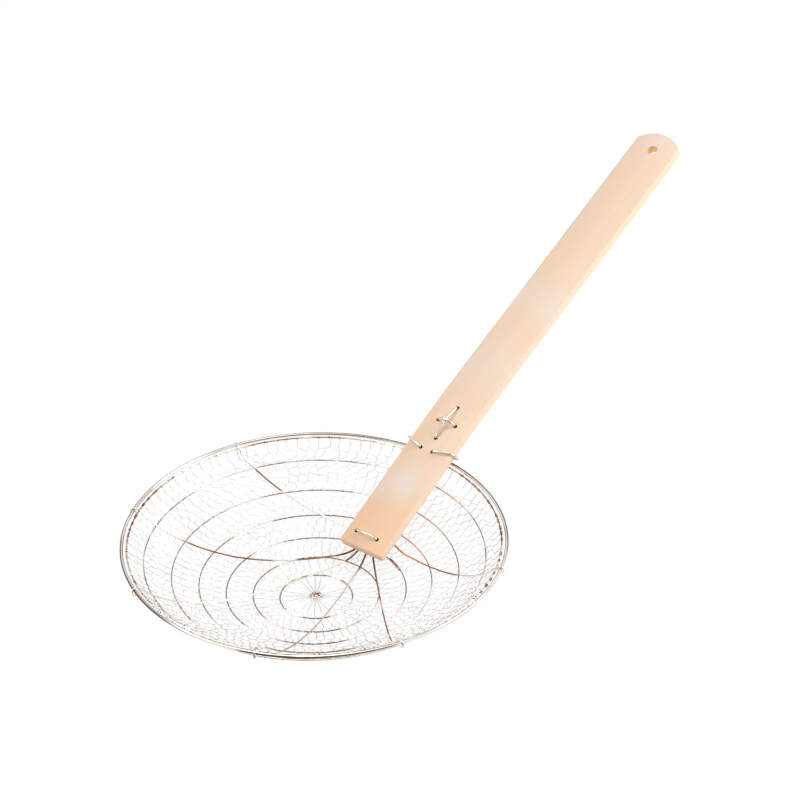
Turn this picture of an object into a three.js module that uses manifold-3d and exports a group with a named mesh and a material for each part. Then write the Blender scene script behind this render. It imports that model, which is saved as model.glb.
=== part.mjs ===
// A wide wire strainer: a hexagonal wire net wound on a rim, carried by rings below and ribs above,
// and laced to a flat bamboo handle with wire stitches.
// Millimetres. The rim is level, +Z is up and the handle runs out along +X.
// While it is built, the net's lowest point is at zero on the bowl's axis.
import * as THREE from 'three';
import { mergeVertices } from 'three/addons/utils/BufferGeometryUtils.js';
import Module from 'manifold-3d';

// Wires
const RIM_WIRE = 2.2;
const EDGE_WIRE = 1.4;
const RING_WIRE = 1.1;
const RIB_WIRE = 1.5;
const STITCH_WIRE = 1.4;
const TOUCH = 0.3; // gap left between wires that lie on each other

// Bowl
const RIM_DIAMETER = 254; // outside the rim wire
const BOWL_DEPTH = 46.5; // from the net's lowest point up to the rim wire's middle
const EDGE_INSET = 3.8; // from the rim wire's middle in to the edge wire's middle
const EDGE_DROP = 1.2; // from the rim wire's middle down to the edge wire's middle
const DISH_POWER = 2.4; // how flat the bottom of the bowl is
const FLARE_POWER = 9; // how suddenly the wall turns up at the edge
const FLARE_SHARE = 0.13; // part of the depth that the turned-up wall takes
const FIRST_RING_RADIUS = 24;
const LAST_RING_INSET = 10.6; // from the edge wire's middle in to the outermost ring
const RING_COUNT = 6;

// Net
const NET_BAR = 1.0;
const NET_THICKNESS = 0.8;
const HUB_RADIUS = 5;
const SUNBURST_RADIUS = 44; // where the cells change from the inner to the outer count
const INNER_CELLS = 16;
const INNER_ROWS = 3;
const OUTER_CELLS = 30;
const OUTER_ROWS = 5;
const ZIGZAG_SHARE = 0.22; // height of a zigzag's tooth as a share of its row

// Ribs, in pairs from the handle round to the far side of the rim
const REAR_RIB_ANGLE = 67.5; // degrees round the rim from the handle
const SIDE_RIB_ANGLE = 112.5;
const FRONT_RIB_ANGLE = 157.5;
const REAR_RIB_INSET = 21; // along the handle, from its tip to where the rib leaves it
const SIDE_RIB_INSET = 8;
const FRONT_RIB_INSET = 7;
const REAR_RIB_DIVE = 15.6; // degrees that the rib drops away from the handle's underside
const SIDE_RIB_DIVE = 3.4;
const FRONT_RIB_DIVE = 0.5;
const REAR_TAIL_OVERRUN = 10; // along the handle, past the end of the cross stitch
const SIDE_TAIL_OVERRUN = 8;
const FRONT_TAIL_LENGTH = 34;
const TAIL_CLOSE_FROM = 38; // from the rim in, where the tails close up towards the handle's middle
const TAIL_CLOSE_TO = 16;
const RIB_STEP = 13; // spacing of a rib's points along the net
const RIB_CORNER = 5; // length on each side of the bend where a rib leaves the handle
const RIB_TURN_INSET = 10; // from the edge wire in to where a rib turns up over it

// Handle: distances along it count from where it crosses the rim
const HANDLE_WIDTH = 35.6;
const HANDLE_THICKNESS = 6.5;
const HANDLE_INSIDE = 87; // from the rim crossing in to the tip
const HANDLE_OUTSIDE = 305; // from the rim crossing out to the far end
const HANDLE_PITCH = 27.9; // degrees above level at the rim
const HANDLE_BEND = 3.7; // degrees that it bends down over the lacing
const BEND_START = 8;
const BEND_LENGTH = 50;
const HANDLE_CROWN = 0.7;
const HANDLE_EDGE = 1.0;
const TIP_CORNER = 3;
const END_BULGE = 8.5; // how far the rounded end stands out past its corners
const HANG_HOLE = 6;
const HANG_HOLE_INSET = 16.5;

// Lacing
const STITCH_PLAY = 0.6; // between a stitch and the wall of its hole
const TIP_STITCH_INSET = 10.5;
const TIP_STITCH_SPAN = 16.6;
const CROSS_FROM = 10;
const CROSS_LENGTH = 26;
const CROSS_SPAN = 13.8;
const TIE_SLANT = { left: 0, right: 8 }; // along the handle, from the hole to the handle's edge
const CLINCH_GAP = 2; // left between the ends of a stitch under the handle

// Facets
const RIM_SEGMENTS = 56;
const RING_SEGMENTS = 36;
const RIM_SIDES = 8;
const WIRE_SIDES = 6;
const RING_SIDES = 5;
const HOLE_SIDES = 10;
const BEND_STEPS = 6;
const END_STEPS = 7;
const LANDING_TRIES = 20;

const wasm = await Module();
wasm.setup();

const radians = THREE.MathUtils.degToRad;
const rimRadius = (RIM_DIAMETER - RIM_WIRE) / 2;
const rimHeight = BOWL_DEPTH;
const edgeRadius = rimRadius - EDGE_INSET;
const edgeHeight = rimHeight - EDGE_DROP;
const ringPitch = (edgeRadius - LAST_RING_INSET - FIRST_RING_RADIUS) / (RING_COUNT - 1);
const tipAlong = -HANDLE_INSIDE;
const endAlong = HANDLE_OUTSIDE;
const crossTo = CROSS_FROM + CROSS_LENGTH;
const crossMiddle = CROSS_FROM + CROSS_LENGTH / 2;
const tipStitchAlong = tipAlong + TIP_STITCH_INSET;
const stitchHole = STITCH_WIRE + 2 * STITCH_PLAY;

// Height of the net's middle above its lowest point, at a distance from the bowl's axis.
function bowlHeight(radius) {
  const share = radius / edgeRadius;
  const dish = (1 - FLARE_SHARE) * share ** DISH_POWER;
  return edgeHeight * (dish + FLARE_SHARE * share ** FLARE_POWER);
}

// Radius and height of a point set off square to the net, upwards when the offset is positive.
function offNet(radius, offset) {
  const step = 0.01;
  const slope = (bowlHeight(radius + step) - bowlHeight(radius - step)) / (2 * step);
  const length = Math.hypot(1, slope);
  return { radius: radius - (offset * slope) / length, height: bowlHeight(radius) + offset / length };
}

// A point at a distance along the handle from the rim, across it and above its underside.
const lowPitch = radians(HANDLE_PITCH);
const bend = radians(HANDLE_BEND);
const tailRoom = RIB_WIRE + 2 * TOUCH;
const edgeRise = EDGE_INSET * Math.sin(lowPitch) - EDGE_DROP * Math.cos(lowPitch);
const seat = Math.max(RIM_WIRE / 2, EDGE_WIRE / 2 + edgeRise) + tailRoom;

function handlePoint(along, across, above) {
  const bent = THREE.MathUtils.clamp(along - BEND_START, 0, BEND_LENGTH);
  const turned = (bent / BEND_LENGTH) * bend;
  const pitch = lowPitch - turned;
  const bendRadius = BEND_LENGTH / bend;
  const straight = Math.min(along, BEND_START);
  const beyond = Math.max(along - BEND_START - BEND_LENGTH, 0);
  const out = straight * Math.cos(lowPitch) + bendRadius * (Math.sin(lowPitch) - Math.sin(pitch))
    + beyond * Math.cos(pitch);
  const up = straight * Math.sin(lowPitch) + bendRadius * (Math.cos(pitch) - Math.cos(lowPitch))
    + beyond * Math.sin(pitch);
  return new THREE.Vector3(
    rimRadius - seat * Math.sin(lowPitch) + out - above * Math.sin(pitch),
    across,
    rimHeight + seat * Math.cos(lowPitch) + up + above * Math.cos(pitch),
  );
}

// A curve that is sampled at its own points, so that tight hooks get short steps.
class PacedCurve extends THREE.CatmullRomCurve3 {
  getUtoTmapping(share) {
    return share;
  }
}

function polygon(radius, sides) {
  const points = [];
  for (let i = 0; i < sides; i++) {
    const angle = (2 * Math.PI * i) / sides;
    points.push(new THREE.Vector2(radius * Math.cos(angle), radius * Math.sin(angle)));
  }
  return points;
}

function wireAlong(points, diameter, sides) {
  const path = new PacedCurve(points, false, 'centripetal');
  const section = new THREE.Shape(polygon(diameter / 2, sides));
  return new THREE.ExtrudeGeometry(section, { steps: points.length - 1, extrudePath: path });
}

// Three points that round off a wire's corner, starting and ending a set reach from it.
function cornerPoints(before, corner, after, reach) {
  const start = corner.clone().add(before.clone().sub(corner).setLength(reach));
  const end = corner.clone().add(after.clone().sub(corner).setLength(reach));
  const middle = start.clone().add(end).multiplyScalar(0.5).lerp(corner, Math.SQRT2 - 1);
  return [start, middle, end];
}

const steel = new THREE.MeshStandardMaterial({ color: 0xc9cbcd, metalness: 1, roughness: 0.25 });
const dullSteel = new THREE.MeshStandardMaterial({ color: 0xb0a397, metalness: 1, roughness: 0.4 });
const netSteel = new THREE.MeshStandardMaterial({ color: 0xd2d2d0, metalness: 1, roughness: 0.4 });
const bamboo = new THREE.MeshStandardMaterial({ color: 0xf2d6b6, metalness: 0, roughness: 0.55 });

const strainer = new THREE.Group();

function addPiece(name, geometry, material) {
  const mesh = new THREE.Mesh(geometry, material);
  mesh.name = name;
  strainer.add(mesh);
  return mesh;
}

// Rim, edge wire and the rings under the net
function addRing(name, radius, height, wire, sides, segments, material) {
  const ring = addPiece(name, new THREE.TorusGeometry(radius, wire / 2, sides, segments), material);
  ring.position.z = height;
}

addRing('rim_wire', rimRadius, rimHeight, RIM_WIRE, RIM_SIDES, RIM_SEGMENTS, steel);
addRing('net_edge_wire', edgeRadius, edgeHeight, EDGE_WIRE, WIRE_SIDES, RIM_SEGMENTS, steel);
for (let i = 0; i < RING_COUNT; i++) {
  const below = NET_THICKNESS / 2 + TOUCH + RING_WIRE / 2;
  const place = offNet(FIRST_RING_RADIUS + i * ringPitch, -below);
  const name = `support_ring_${i + 1}`;
  addRing(name, place.radius, place.height, RING_WIRE, RING_SIDES, RING_SEGMENTS, dullSteel);
}

// The net is cut flat, cell by cell, and then dished
function polar(radius, angle) {
  return new THREE.Vector2(radius * Math.cos(angle), radius * Math.sin(angle));
}

// Moves each side of a convex outline in by a margin.
function inset(outline, margin) {
  const sides = outline.map((from, i) => {
    const to = outline[(i + 1) % outline.length];
    const way = to.clone().sub(from).normalize();
    const inward = new THREE.Vector2(-way.y, way.x);
    return { start: from.clone().addScaledVector(inward, margin), way };
  });
  return sides.map((side, i) => {
    const last = sides[(i + sides.length - 1) % sides.length];
    const between = side.start.clone().sub(last.start);
    const reach = between.cross(side.way) / last.way.cross(side.way);
    return last.start.clone().addScaledVector(last.way, reach);
  });
}

// One band of cells between two radii, in rows that are offset by half a cell.
function cellBand(cells, rows, inner, outer) {
  const half = Math.PI / cells;
  const height = (outer - inner) / rows;
  const tooth = height * ZIGZAG_SHARE;
  const outlines = [];
  for (let row = 0; row < rows; row++) {
    const low = inner + row * height;
    const high = low + height;
    const lowTooth = row === 0 ? 0 : tooth;
    const highTooth = row === rows - 1 ? 0 : tooth;
    for (let i = 0; i < cells; i++) {
      const middle = (2 * i + (row % 2)) * half;
      outlines.push([
        polar(low + lowTooth, middle + half),
        polar(low - lowTooth, middle),
        polar(low + lowTooth, middle - half),
        polar(high - highTooth, middle - half),
        polar(high + highTooth, middle),
        polar(high - highTooth, middle + half),
      ]);
    }
  }
  return outlines;
}

function netGeometry() {
  const radius = edgeRadius - EDGE_WIRE / 2 - TOUCH;
  const sheet = new THREE.Shape(polygon(radius, 2 * OUTER_CELLS));
  const cells = [
    ...cellBand(INNER_CELLS, INNER_ROWS, HUB_RADIUS, SUNBURST_RADIUS),
    ...cellBand(OUTER_CELLS, OUTER_ROWS, SUNBURST_RADIUS, radius - NET_BAR / 2),
  ];
  for (const cell of cells) {
    sheet.holes.push(new THREE.Path(inset(cell, NET_BAR / 2)));
  }
  const geometry = new THREE.ExtrudeGeometry(sheet, { depth: NET_THICKNESS, bevelEnabled: false });
  const places = geometry.attributes.position;
  for (let i = 0; i < places.count; i++) {
    const lift = bowlHeight(Math.hypot(places.getX(i), places.getY(i))) - NET_THICKNESS / 2;
    places.setZ(i, places.getZ(i) + lift);
  }
  return geometry;
}

addPiece('wire_net', netGeometry(), netSteel);

// Ribs: a tail under the handle, a straight run across the net and a hook over the rim
const frontLeave = tipAlong + FRONT_RIB_INSET;
const ribPairs = [
  {
    name: 'rear',
    angle: radians(REAR_RIB_ANGLE),
    slot: 2,
    leave: tipAlong + REAR_RIB_INSET,
    dive: radians(REAR_RIB_DIVE),
    tailEnd: crossTo + REAR_TAIL_OVERRUN,
  },
  {
    name: 'side',
    angle: radians(SIDE_RIB_ANGLE),
    slot: 1,
    leave: tipAlong + SIDE_RIB_INSET,
    dive: radians(SIDE_RIB_DIVE),
    tailEnd: crossTo + SIDE_TAIL_OVERRUN,
  },
  {
    name: 'front',
    angle: radians(FRONT_RIB_ANGLE),
    slot: 0,
    leave: frontLeave,
    dive: radians(FRONT_RIB_DIVE),
    tailEnd: frontLeave + FRONT_TAIL_LENGTH,
  },
];
const tailDepth = -(TOUCH + RIB_WIRE / 2);
const overNet = NET_THICKNESS / 2 + TOUCH + RIB_WIRE / 2;

function slotOffset(slot) {
  return STITCH_WIRE / 2 + TOUCH + RIB_WIRE / 2 + slot * (RIB_WIRE + TOUCH);
}

function onNet(x, y) {
  const radius = Math.hypot(x, y);
  const place = offNet(radius, overNet);
  const share = place.radius / radius;
  return new THREE.Vector3(x * share, y * share, place.height);
}

// Points of an arc round a ring's wire, in the upright plane at one angle round the bowl.
function arcOver(angle, ringRadius, ringHeight, reach, turns) {
  return turns.map((turn) => {
    const radius = ringRadius + reach * Math.cos(radians(turn));
    const height = ringHeight + reach * Math.sin(radians(turn));
    return new THREE.Vector3(radius * Math.cos(angle), radius * Math.sin(angle), height);
  });
}

function tailPoints(pair, side) {
  const wide = side * slotOffset(pair.slot);
  const points = [];
  if (pair.tailEnd > -TAIL_CLOSE_TO) {
    const narrow = side * slotOffset(pair.slot - 1);
    const stops = [pair.tailEnd, BEND_START + BEND_LENGTH / 2, BEND_START, -TAIL_CLOSE_TO];
    points.push(...stops.map((along) => handlePoint(along, narrow, tailDepth)));
    points.push(handlePoint(-TAIL_CLOSE_FROM, wide, tailDepth));
  } else {
    points.push(handlePoint(pair.tailEnd, wide, tailDepth));
  }
  return points;
}

// How far along its run, seen from above, a rib that dives from the handle comes down on the net.
function landingReach(leave, run, dive) {
  const slope = Math.tan(Math.atan(-run.x * Math.tan(lowPitch)) + dive);
  let reach = 0;
  for (let i = 0; i < LANDING_TRIES; i++) {
    const place = onNet(leave.x + run.x * reach, leave.y + run.y * reach);
    reach = (leave.z - place.z) / slope;
  }
  return reach;
}

function ribPoints(pair, side) {
  const angle = side * pair.angle;
  const points = tailPoints(pair, side);
  const leave = handlePoint(pair.leave, side * slotOffset(pair.slot), tailDepth);
  const footRadius = edgeRadius - RIB_TURN_INSET;
  const foot = new THREE.Vector3(footRadius * Math.cos(angle), footRadius * Math.sin(angle), leave.z);
  const run = foot.sub(leave);
  const length = run.length();
  run.normalize();
  const reach = landingReach(leave, run, pair.dive);
  const landing = onNet(leave.x + run.x * reach, leave.y + run.y * reach);
  points.push(...cornerPoints(points.at(-1), leave, landing, RIB_CORNER));
  const count = Math.max(2, Math.round((length - reach) / RIB_STEP));
  for (let i = 0; i <= count; i++) {
    const gone = reach + ((length - reach) * i) / count;
    points.push(onNet(leave.x + run.x * gone, leave.y + run.y * gone));
  }
  const overEdge = EDGE_WIRE / 2 + TOUCH + RIB_WIRE / 2;
  const overRim = RIM_WIRE / 2 + TOUCH + RIB_WIRE / 2;
  points.push(...arcOver(angle, edgeRadius, edgeHeight, overEdge, [155, 105]));
  points.push(...arcOver(angle, rimRadius, rimHeight, overRim, [110, 75, 40, 5, -30, -65, -95]));
  return points;
}

for (const [sideName, side] of [['left', 1], ['right', -1]]) {
  for (const pair of ribPairs) {
    const geometry = wireAlong(ribPoints(pair, side), RIB_WIRE, WIRE_SIDES);
    addPiece(`rib_${sideName}_${pair.name}`, geometry, dullSteel);
  }
}

// Handle: a crowned slat lofted along its bent line, with a rounded end and drilled holes
const tieOffset = slotOffset(1) + RIB_WIRE / 2 + TOUCH + STITCH_WIRE / 2;
const tieReach = RIM_WIRE / 2 + (Math.hypot(EDGE_INSET, EDGE_DROP) - RIM_WIRE / 2 - EDGE_WIRE / 2) / 2;
const tieAlong = -tieReach * Math.cos(lowPitch - Math.atan2(EDGE_DROP, EDGE_INSET));

function handleProfile() {
  const half = HANDLE_WIDTH / 2;
  const shoulder = HANDLE_THICKNESS - HANDLE_CROWN;
  const right = [
    new THREE.Vector2(half - HANDLE_EDGE, 0),
    new THREE.Vector2(half, HANDLE_EDGE),
    new THREE.Vector2(half, shoulder - HANDLE_EDGE),
    new THREE.Vector2(half - HANDLE_EDGE, shoulder),
    new THREE.Vector2(half / 2, HANDLE_THICKNESS - HANDLE_CROWN / 4),
  ];
  const left = right.map((point) => new THREE.Vector2(-point.x, point.y)).reverse();
  return new THREE.Shape([...right, new THREE.Vector2(0, HANDLE_THICKNESS), ...left]);
}

// Places along the handle, each with its half width: round tip corners, the bend, the round end.
function handleStations() {
  const half = HANDLE_WIDTH / 2;
  const stations = [];
  for (const turn of [0, 30, 60, 90]) {
    const angle = radians(turn);
    const along = tipAlong + TIP_CORNER * (1 - Math.sin(angle));
    stations.unshift({ along, half: half - TIP_CORNER * (1 - Math.cos(angle)) });
  }
  for (let i = 0; i <= BEND_STEPS; i++) {
    stations.push({ along: BEND_START + (BEND_LENGTH * i) / BEND_STEPS, half });
  }
  const endRadius = (half ** 2 + END_BULGE ** 2) / (2 * END_BULGE);
  const widest = Math.asin(half / endRadius);
  for (let i = 0; i < END_STEPS; i++) {
    const angle = widest * (1 - i / END_STEPS);
    const along = endAlong - endRadius * (1 - Math.cos(angle));
    stations.push({ along, half: endRadius * Math.sin(angle) });
  }
  return stations;
}

function toSolid(geometry) {
  const bare = geometry.clone();
  bare.deleteAttribute('normal');
  bare.deleteAttribute('uv');
  const merged = mergeVertices(bare, 1e-4);
  const mesh = new wasm.Mesh({
    numProp: 3,
    vertProperties: new Float32Array(merged.attributes.position.array),
    triVerts: new Uint32Array(merged.index.array),
  });
  return new wasm.Manifold(mesh);
}

function toGeometry(solid) {
  const mesh = solid.getMesh();
  const geometry = new THREE.BufferGeometry();
  geometry.setAttribute('position', new THREE.BufferAttribute(mesh.vertProperties, 3));
  geometry.setIndex(new THREE.BufferAttribute(mesh.triVerts, 1));
  geometry.computeVertexNormals();
  return geometry;
}

function drill(along, across, diameter, sides) {
  const length = 3 * HANDLE_THICKNESS;
  const middle = handlePoint(along, across, HANDLE_THICKNESS / 2);
  const up = handlePoint(along, across, HANDLE_THICKNESS).sub(middle).normalize();
  const sideways = new THREE.Vector3(0, -1, 0);
  const forward = up.clone().cross(sideways);
  const place = new THREE.Matrix4().makeBasis(forward, up, sideways).setPosition(middle);
  return new THREE.CylinderGeometry(diameter / 2, diameter / 2, length, sides).applyMatrix4(place);
}

function handleGeometry() {
  const stations = handleStations();
  const steps = stations.length - 1;
  const slat = new THREE.ExtrudeGeometry(handleProfile(), { depth: steps, steps, bevelEnabled: false });
  const places = slat.attributes.position;
  for (let i = 0; i < places.count; i++) {
    const station = stations[Math.round(places.getZ(i))];
    const across = (places.getX(i) * 2 * station.half) / HANDLE_WIDTH;
    const point = handlePoint(station.along, across, places.getY(i));
    places.setXYZ(i, point.x, point.y, point.z);
  }
  const holes = [
    drill(endAlong - HANG_HOLE_INSET, 0, HANG_HOLE, 2 * HOLE_SIDES),
    drill(CROSS_FROM, 0, stitchHole, HOLE_SIDES),
    drill(crossTo, 0, stitchHole, HOLE_SIDES),
  ];
  for (const side of [1, -1]) {
    holes.push(drill(tipStitchAlong, (side * TIP_STITCH_SPAN) / 2, stitchHole, HOLE_SIDES));
    holes.push(drill(crossMiddle, (side * CROSS_SPAN) / 2, stitchHole, HOLE_SIDES));
    holes.push(drill(tieAlong, side * tieOffset, stitchHole, HOLE_SIDES));
  }
  const solid = holes.reduce((body, hole) => body.subtract(toSolid(hole)), toSolid(slat));
  return toGeometry(solid);
}

addPiece('bamboo_handle', handleGeometry(), bamboo);

// Stitches: each is given as corners on the handle, along, across and above its underside
const overFace = HANDLE_THICKNESS + TOUCH + STITCH_WIRE / 2;
const underTails = -(tailRoom + STITCH_WIRE / 2);
const underFace = -(TOUCH + STITCH_WIRE / 2);

// Rounds each corner of a stitch, so that it bends as wire does.
function stitchPoints(corners) {
  const reach = TOUCH + STITCH_WIRE / 2;
  const places = corners.map((corner) => handlePoint(...corner));
  const points = [places[0]];
  for (let i = 1; i < places.length - 1; i++) {
    points.push(...cornerPoints(places[i - 1], places[i], places[i + 1], reach));
  }
  points.push(places.at(-1));
  return points;
}

function addStitch(name, corners) {
  addPiece(name, wireAlong(stitchPoints(corners), STITCH_WIRE, WIRE_SIDES), steel);
}

const tipHalf = TIP_STITCH_SPAN / 2;
addStitch('tip_stitch', [
  [tipStitchAlong, CLINCH_GAP / 2, underTails],
  [tipStitchAlong, tipHalf, underTails],
  [tipStitchAlong, tipHalf, overFace],
  [tipStitchAlong, -tipHalf, overFace],
  [tipStitchAlong, -tipHalf, underTails],
  [tipStitchAlong, -CLINCH_GAP / 2, underTails],
]);

const crossClinch = CROSS_LENGTH / 2 - CLINCH_GAP;
addStitch('cross_stitch_long', [
  [CROSS_FROM + crossClinch, 0, underFace],
  [CROSS_FROM, 0, underFace],
  [CROSS_FROM, 0, overFace],
  [crossTo, 0, overFace],
  [crossTo, 0, underFace],
  [crossTo - crossClinch, 0, underFace],
]);

// The short stitch rises over the long one where they cross
const crossHalf = CROSS_SPAN / 2;
const overLong = overFace + STITCH_WIRE + TOUCH;
addStitch('cross_stitch_short', [
  [crossMiddle, CLINCH_GAP / 2, underTails],
  [crossMiddle, crossHalf, underTails],
  [crossMiddle, crossHalf, overFace],
  [crossMiddle, 0, overLong],
  [crossMiddle, -crossHalf, overFace],
  [crossMiddle, -crossHalf, underTails],
  [crossMiddle, -CLINCH_GAP / 2, underTails],
]);

// Each rim tie comes up between the rim and the edge wire, over the handle's edge and back under the rim
const underRim = -(seat + RIM_WIRE / 2 + TOUCH + STITCH_WIRE / 2);
const edgeOut = HANDLE_WIDTH / 2 + TOUCH + STITCH_WIRE / 2;
for (const [sideName, side] of [['left', 1], ['right', -1]]) {
  const edgeAlong = tieAlong + TIE_SLANT[sideName];
  const pastRim = RIM_WIRE / 2 + STITCH_WIRE;
  addStitch(`rim_tie_${sideName}`, [
    [pastRim, side * (tieOffset + 2 * CLINCH_GAP), underRim],
    [edgeAlong + pastRim, side * edgeOut, underRim / 2],
    [edgeAlong, side * edgeOut, overFace],
    [tieAlong, side * tieOffset, overFace],
    [tieAlong, side * tieOffset, underRim],
    [pastRim / 2, side * (tieOffset + CLINCH_GAP / 2), underRim],
  ]);
}

// The origin is the middle of the underside of the whole strainer's box
const box = new THREE.Box3().setFromObject(strainer);
const middle = box.getCenter(new THREE.Vector3());
strainer.position.set(-middle.x, -middle.y, -box.min.z);

export default strainer;
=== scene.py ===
"""Dresses a wire skimmer's frame: drawn hoops, a twisted wire net, ribs and a laced bamboo handle.

Lengths are in metres and angles in radians. The bowl's axis is upright, the handle runs out along +X,
and every piece is made where the frame's own piece is.
"""

import math
import random

import bpy
from bpy.props import FloatProperty, FloatVectorProperty, IntProperty, PointerProperty
from mathutils import Matrix, Vector


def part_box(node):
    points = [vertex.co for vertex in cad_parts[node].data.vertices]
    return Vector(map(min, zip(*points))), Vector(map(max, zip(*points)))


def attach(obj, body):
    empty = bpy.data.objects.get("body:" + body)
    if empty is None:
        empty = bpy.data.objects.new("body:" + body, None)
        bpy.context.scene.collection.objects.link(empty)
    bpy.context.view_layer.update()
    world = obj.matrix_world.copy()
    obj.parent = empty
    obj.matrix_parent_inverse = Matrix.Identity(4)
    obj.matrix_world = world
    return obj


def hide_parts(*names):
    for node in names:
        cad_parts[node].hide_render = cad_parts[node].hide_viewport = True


bl_info = {
    "name": "Wire Skimmer",
    "version": (1, 0, 0),
    "blender": (4, 5, 0),
    "location": "3D View > Sidebar > Skimmer",
    "description": "Models the hoops, net, ribs, bamboo handle and lacing of a wire skimmer",
    "category": "Object",
}

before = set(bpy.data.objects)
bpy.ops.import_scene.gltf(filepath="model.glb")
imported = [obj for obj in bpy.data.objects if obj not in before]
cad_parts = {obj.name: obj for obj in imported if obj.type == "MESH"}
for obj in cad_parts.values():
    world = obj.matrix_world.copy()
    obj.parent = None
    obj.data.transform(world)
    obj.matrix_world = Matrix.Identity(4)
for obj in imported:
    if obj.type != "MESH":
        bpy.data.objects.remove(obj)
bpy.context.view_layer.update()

MM = 0.001
BODY = "root"
SIDES = (("left", 1), ("right", -1))
UP = Vector((0, 0, 1))
RIB_NAMES = ("rear", "side", "front")

# How finely the pieces are modelled

HOOP_POINTS = 240
RING_POINTS = 180
TWIST_STEPS = 5
WINDING_STEPS = 8
LANDING_TRIES = 20
BOW_STEPS = 6
SLAT_CELLS = (128, 20)
SLAT_CROWDING = 0.85
PLACE_DIGITS = 7
MERGE_WITHIN = 0.001 * MM
DRILL_SIDES = 32
SHARP_ANGLE = math.radians(40)

# Bearings round a wire in degrees, where 0 is outward and 90 is up

FULL_TURN = 360
WINDING_START = -140
OVER_EDGE = (150, 105)
ROUND_RIM = range(110, -220, -30)


# Properties

def length(name, description, millimetres):
    """A length that a user may change, given in millimetres."""
    return FloatProperty(
        name=name, description=description, default=millimetres * MM, unit="LENGTH", precision=5)


def angle(name, description, degrees):
    """An angle that a user may change, given in degrees."""
    return FloatProperty(name=name, description=description, default=math.radians(degrees), subtype="ANGLE")


def lengths(name, description, *millimetres):
    """Lengths that a user may change, given in millimetres."""
    return FloatVectorProperty(
        name=name, description=description, default=[value * MM for value in millimetres],
        size=len(millimetres), unit="LENGTH", precision=5)


def angles(name, description, *degrees):
    """Angles that a user may change, given in degrees."""
    return FloatVectorProperty(
        name=name, description=description, default=[math.radians(value) for value in degrees],
        size=len(degrees), unit="ROTATION")


def shares(name, description, *values):
    """Plain factors that a user may change."""
    return FloatVectorProperty(name=name, description=description, default=values, size=len(values))


def share(name, description, default):
    """A plain factor that a user may change."""
    return FloatProperty(name=name, description=description, default=default)


def whole(name, description, default):
    """A whole number that a user may change."""
    return IntProperty(name=name, description=description, default=default)


def colour(name, description, red, green, blue):
    """A linear colour that a user may change."""
    return FloatVectorProperty(
        name=name, description=description, default=(red, green, blue), subtype="COLOR", min=0, max=1)


class SkimmerBowl(bpy.types.PropertyGroup):
    """Wires and shape of the bowl."""
    rim_wire: length("Rim wire", "Diameter of the rim wire", 2.2)
    edge_wire: length("Edge wire", "Diameter of the frame's wire that the net's edge is wound on", 1.4)
    edge_drawn: length("Edge drawn", "Diameter that the edge wire is drawn with", 0.9)
    ring_wire: length("Ring wire", "Diameter of the frame's rings under the net", 1.1)
    ring_drawn: length("Ring drawn", "Diameter that the rings are drawn with", 0.82)
    net_thickness: length("Net thickness", "Thickness of the net in the frame", 0.8)
    touch: length("Touch", "Gap between wires that lie on each other", 0.3)
    edge_out: length("Edge out", "How far the edge wire is drawn out toward the rim", 0.5)
    edge_up: length("Edge up", "How far the edge wire is drawn up toward the rim", 0.5)
    dish_power: share("Dish power", "How flat the bottom of the bowl is", 2.4)
    flare_power: share("Flare power", "How suddenly the wall turns up at the edge", 9)
    flare_share: share("Flare share", "Part of the depth that the turned-up wall takes", 0.13)
    waviness: length("Waviness", "How far a hand-bent hoop strays from a true circle", 0.25)
    lap: length("Lap", "How far the lapped ring's ends run past each other", 15)
    lap_angle: angle("Lap angle", "Where the lapped ring's ends meet, round from the handle", -24)
    front_turn: angle("Front turn", "Where the bowl's front is, round from the handle", 242)
    # The rim's dark strip is a painted reflection of dark surroundings; these values place it.
    dark_reflection_turn: angle("Tarnish turn", "Where the rim has darkened most, round from the handle", 15)
    dark_reflection_wider: share("Tarnish wider", "How much wider the darkened strip is there, in half wires", 1.1)
    dark_reflection_strip: shares(
        "Tarnish strip", "Where the strip starts and is full, out from the wire's middle", 0.15, 0.55)
    dark_reflection_low: share("Tarnish low", "Lowest part of the strip, up from the wire's middle", -0.2)
    dark_reflection_ends: shares(
        "Tarnish ends", "Nearness to the bowl's front where the strip ends and where it is full", 0.62, 0.35)
    lapped_ring: whole("Lapped ring", "Number of the ring whose ends lap, inmost first", 3)
    rings_browned: shares(
        "Rings browned", "How much more each ring has browned, inmost first", 0.05, 0.25, 0.1, 0, -0.1, -0.35)
    edge_browned: share("Edge browned", "How much more the edge wire has browned", -0.3)
    front_browned: share("Front browned", "The same for edge wire and last ring at the bowl's front", -1)


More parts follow.
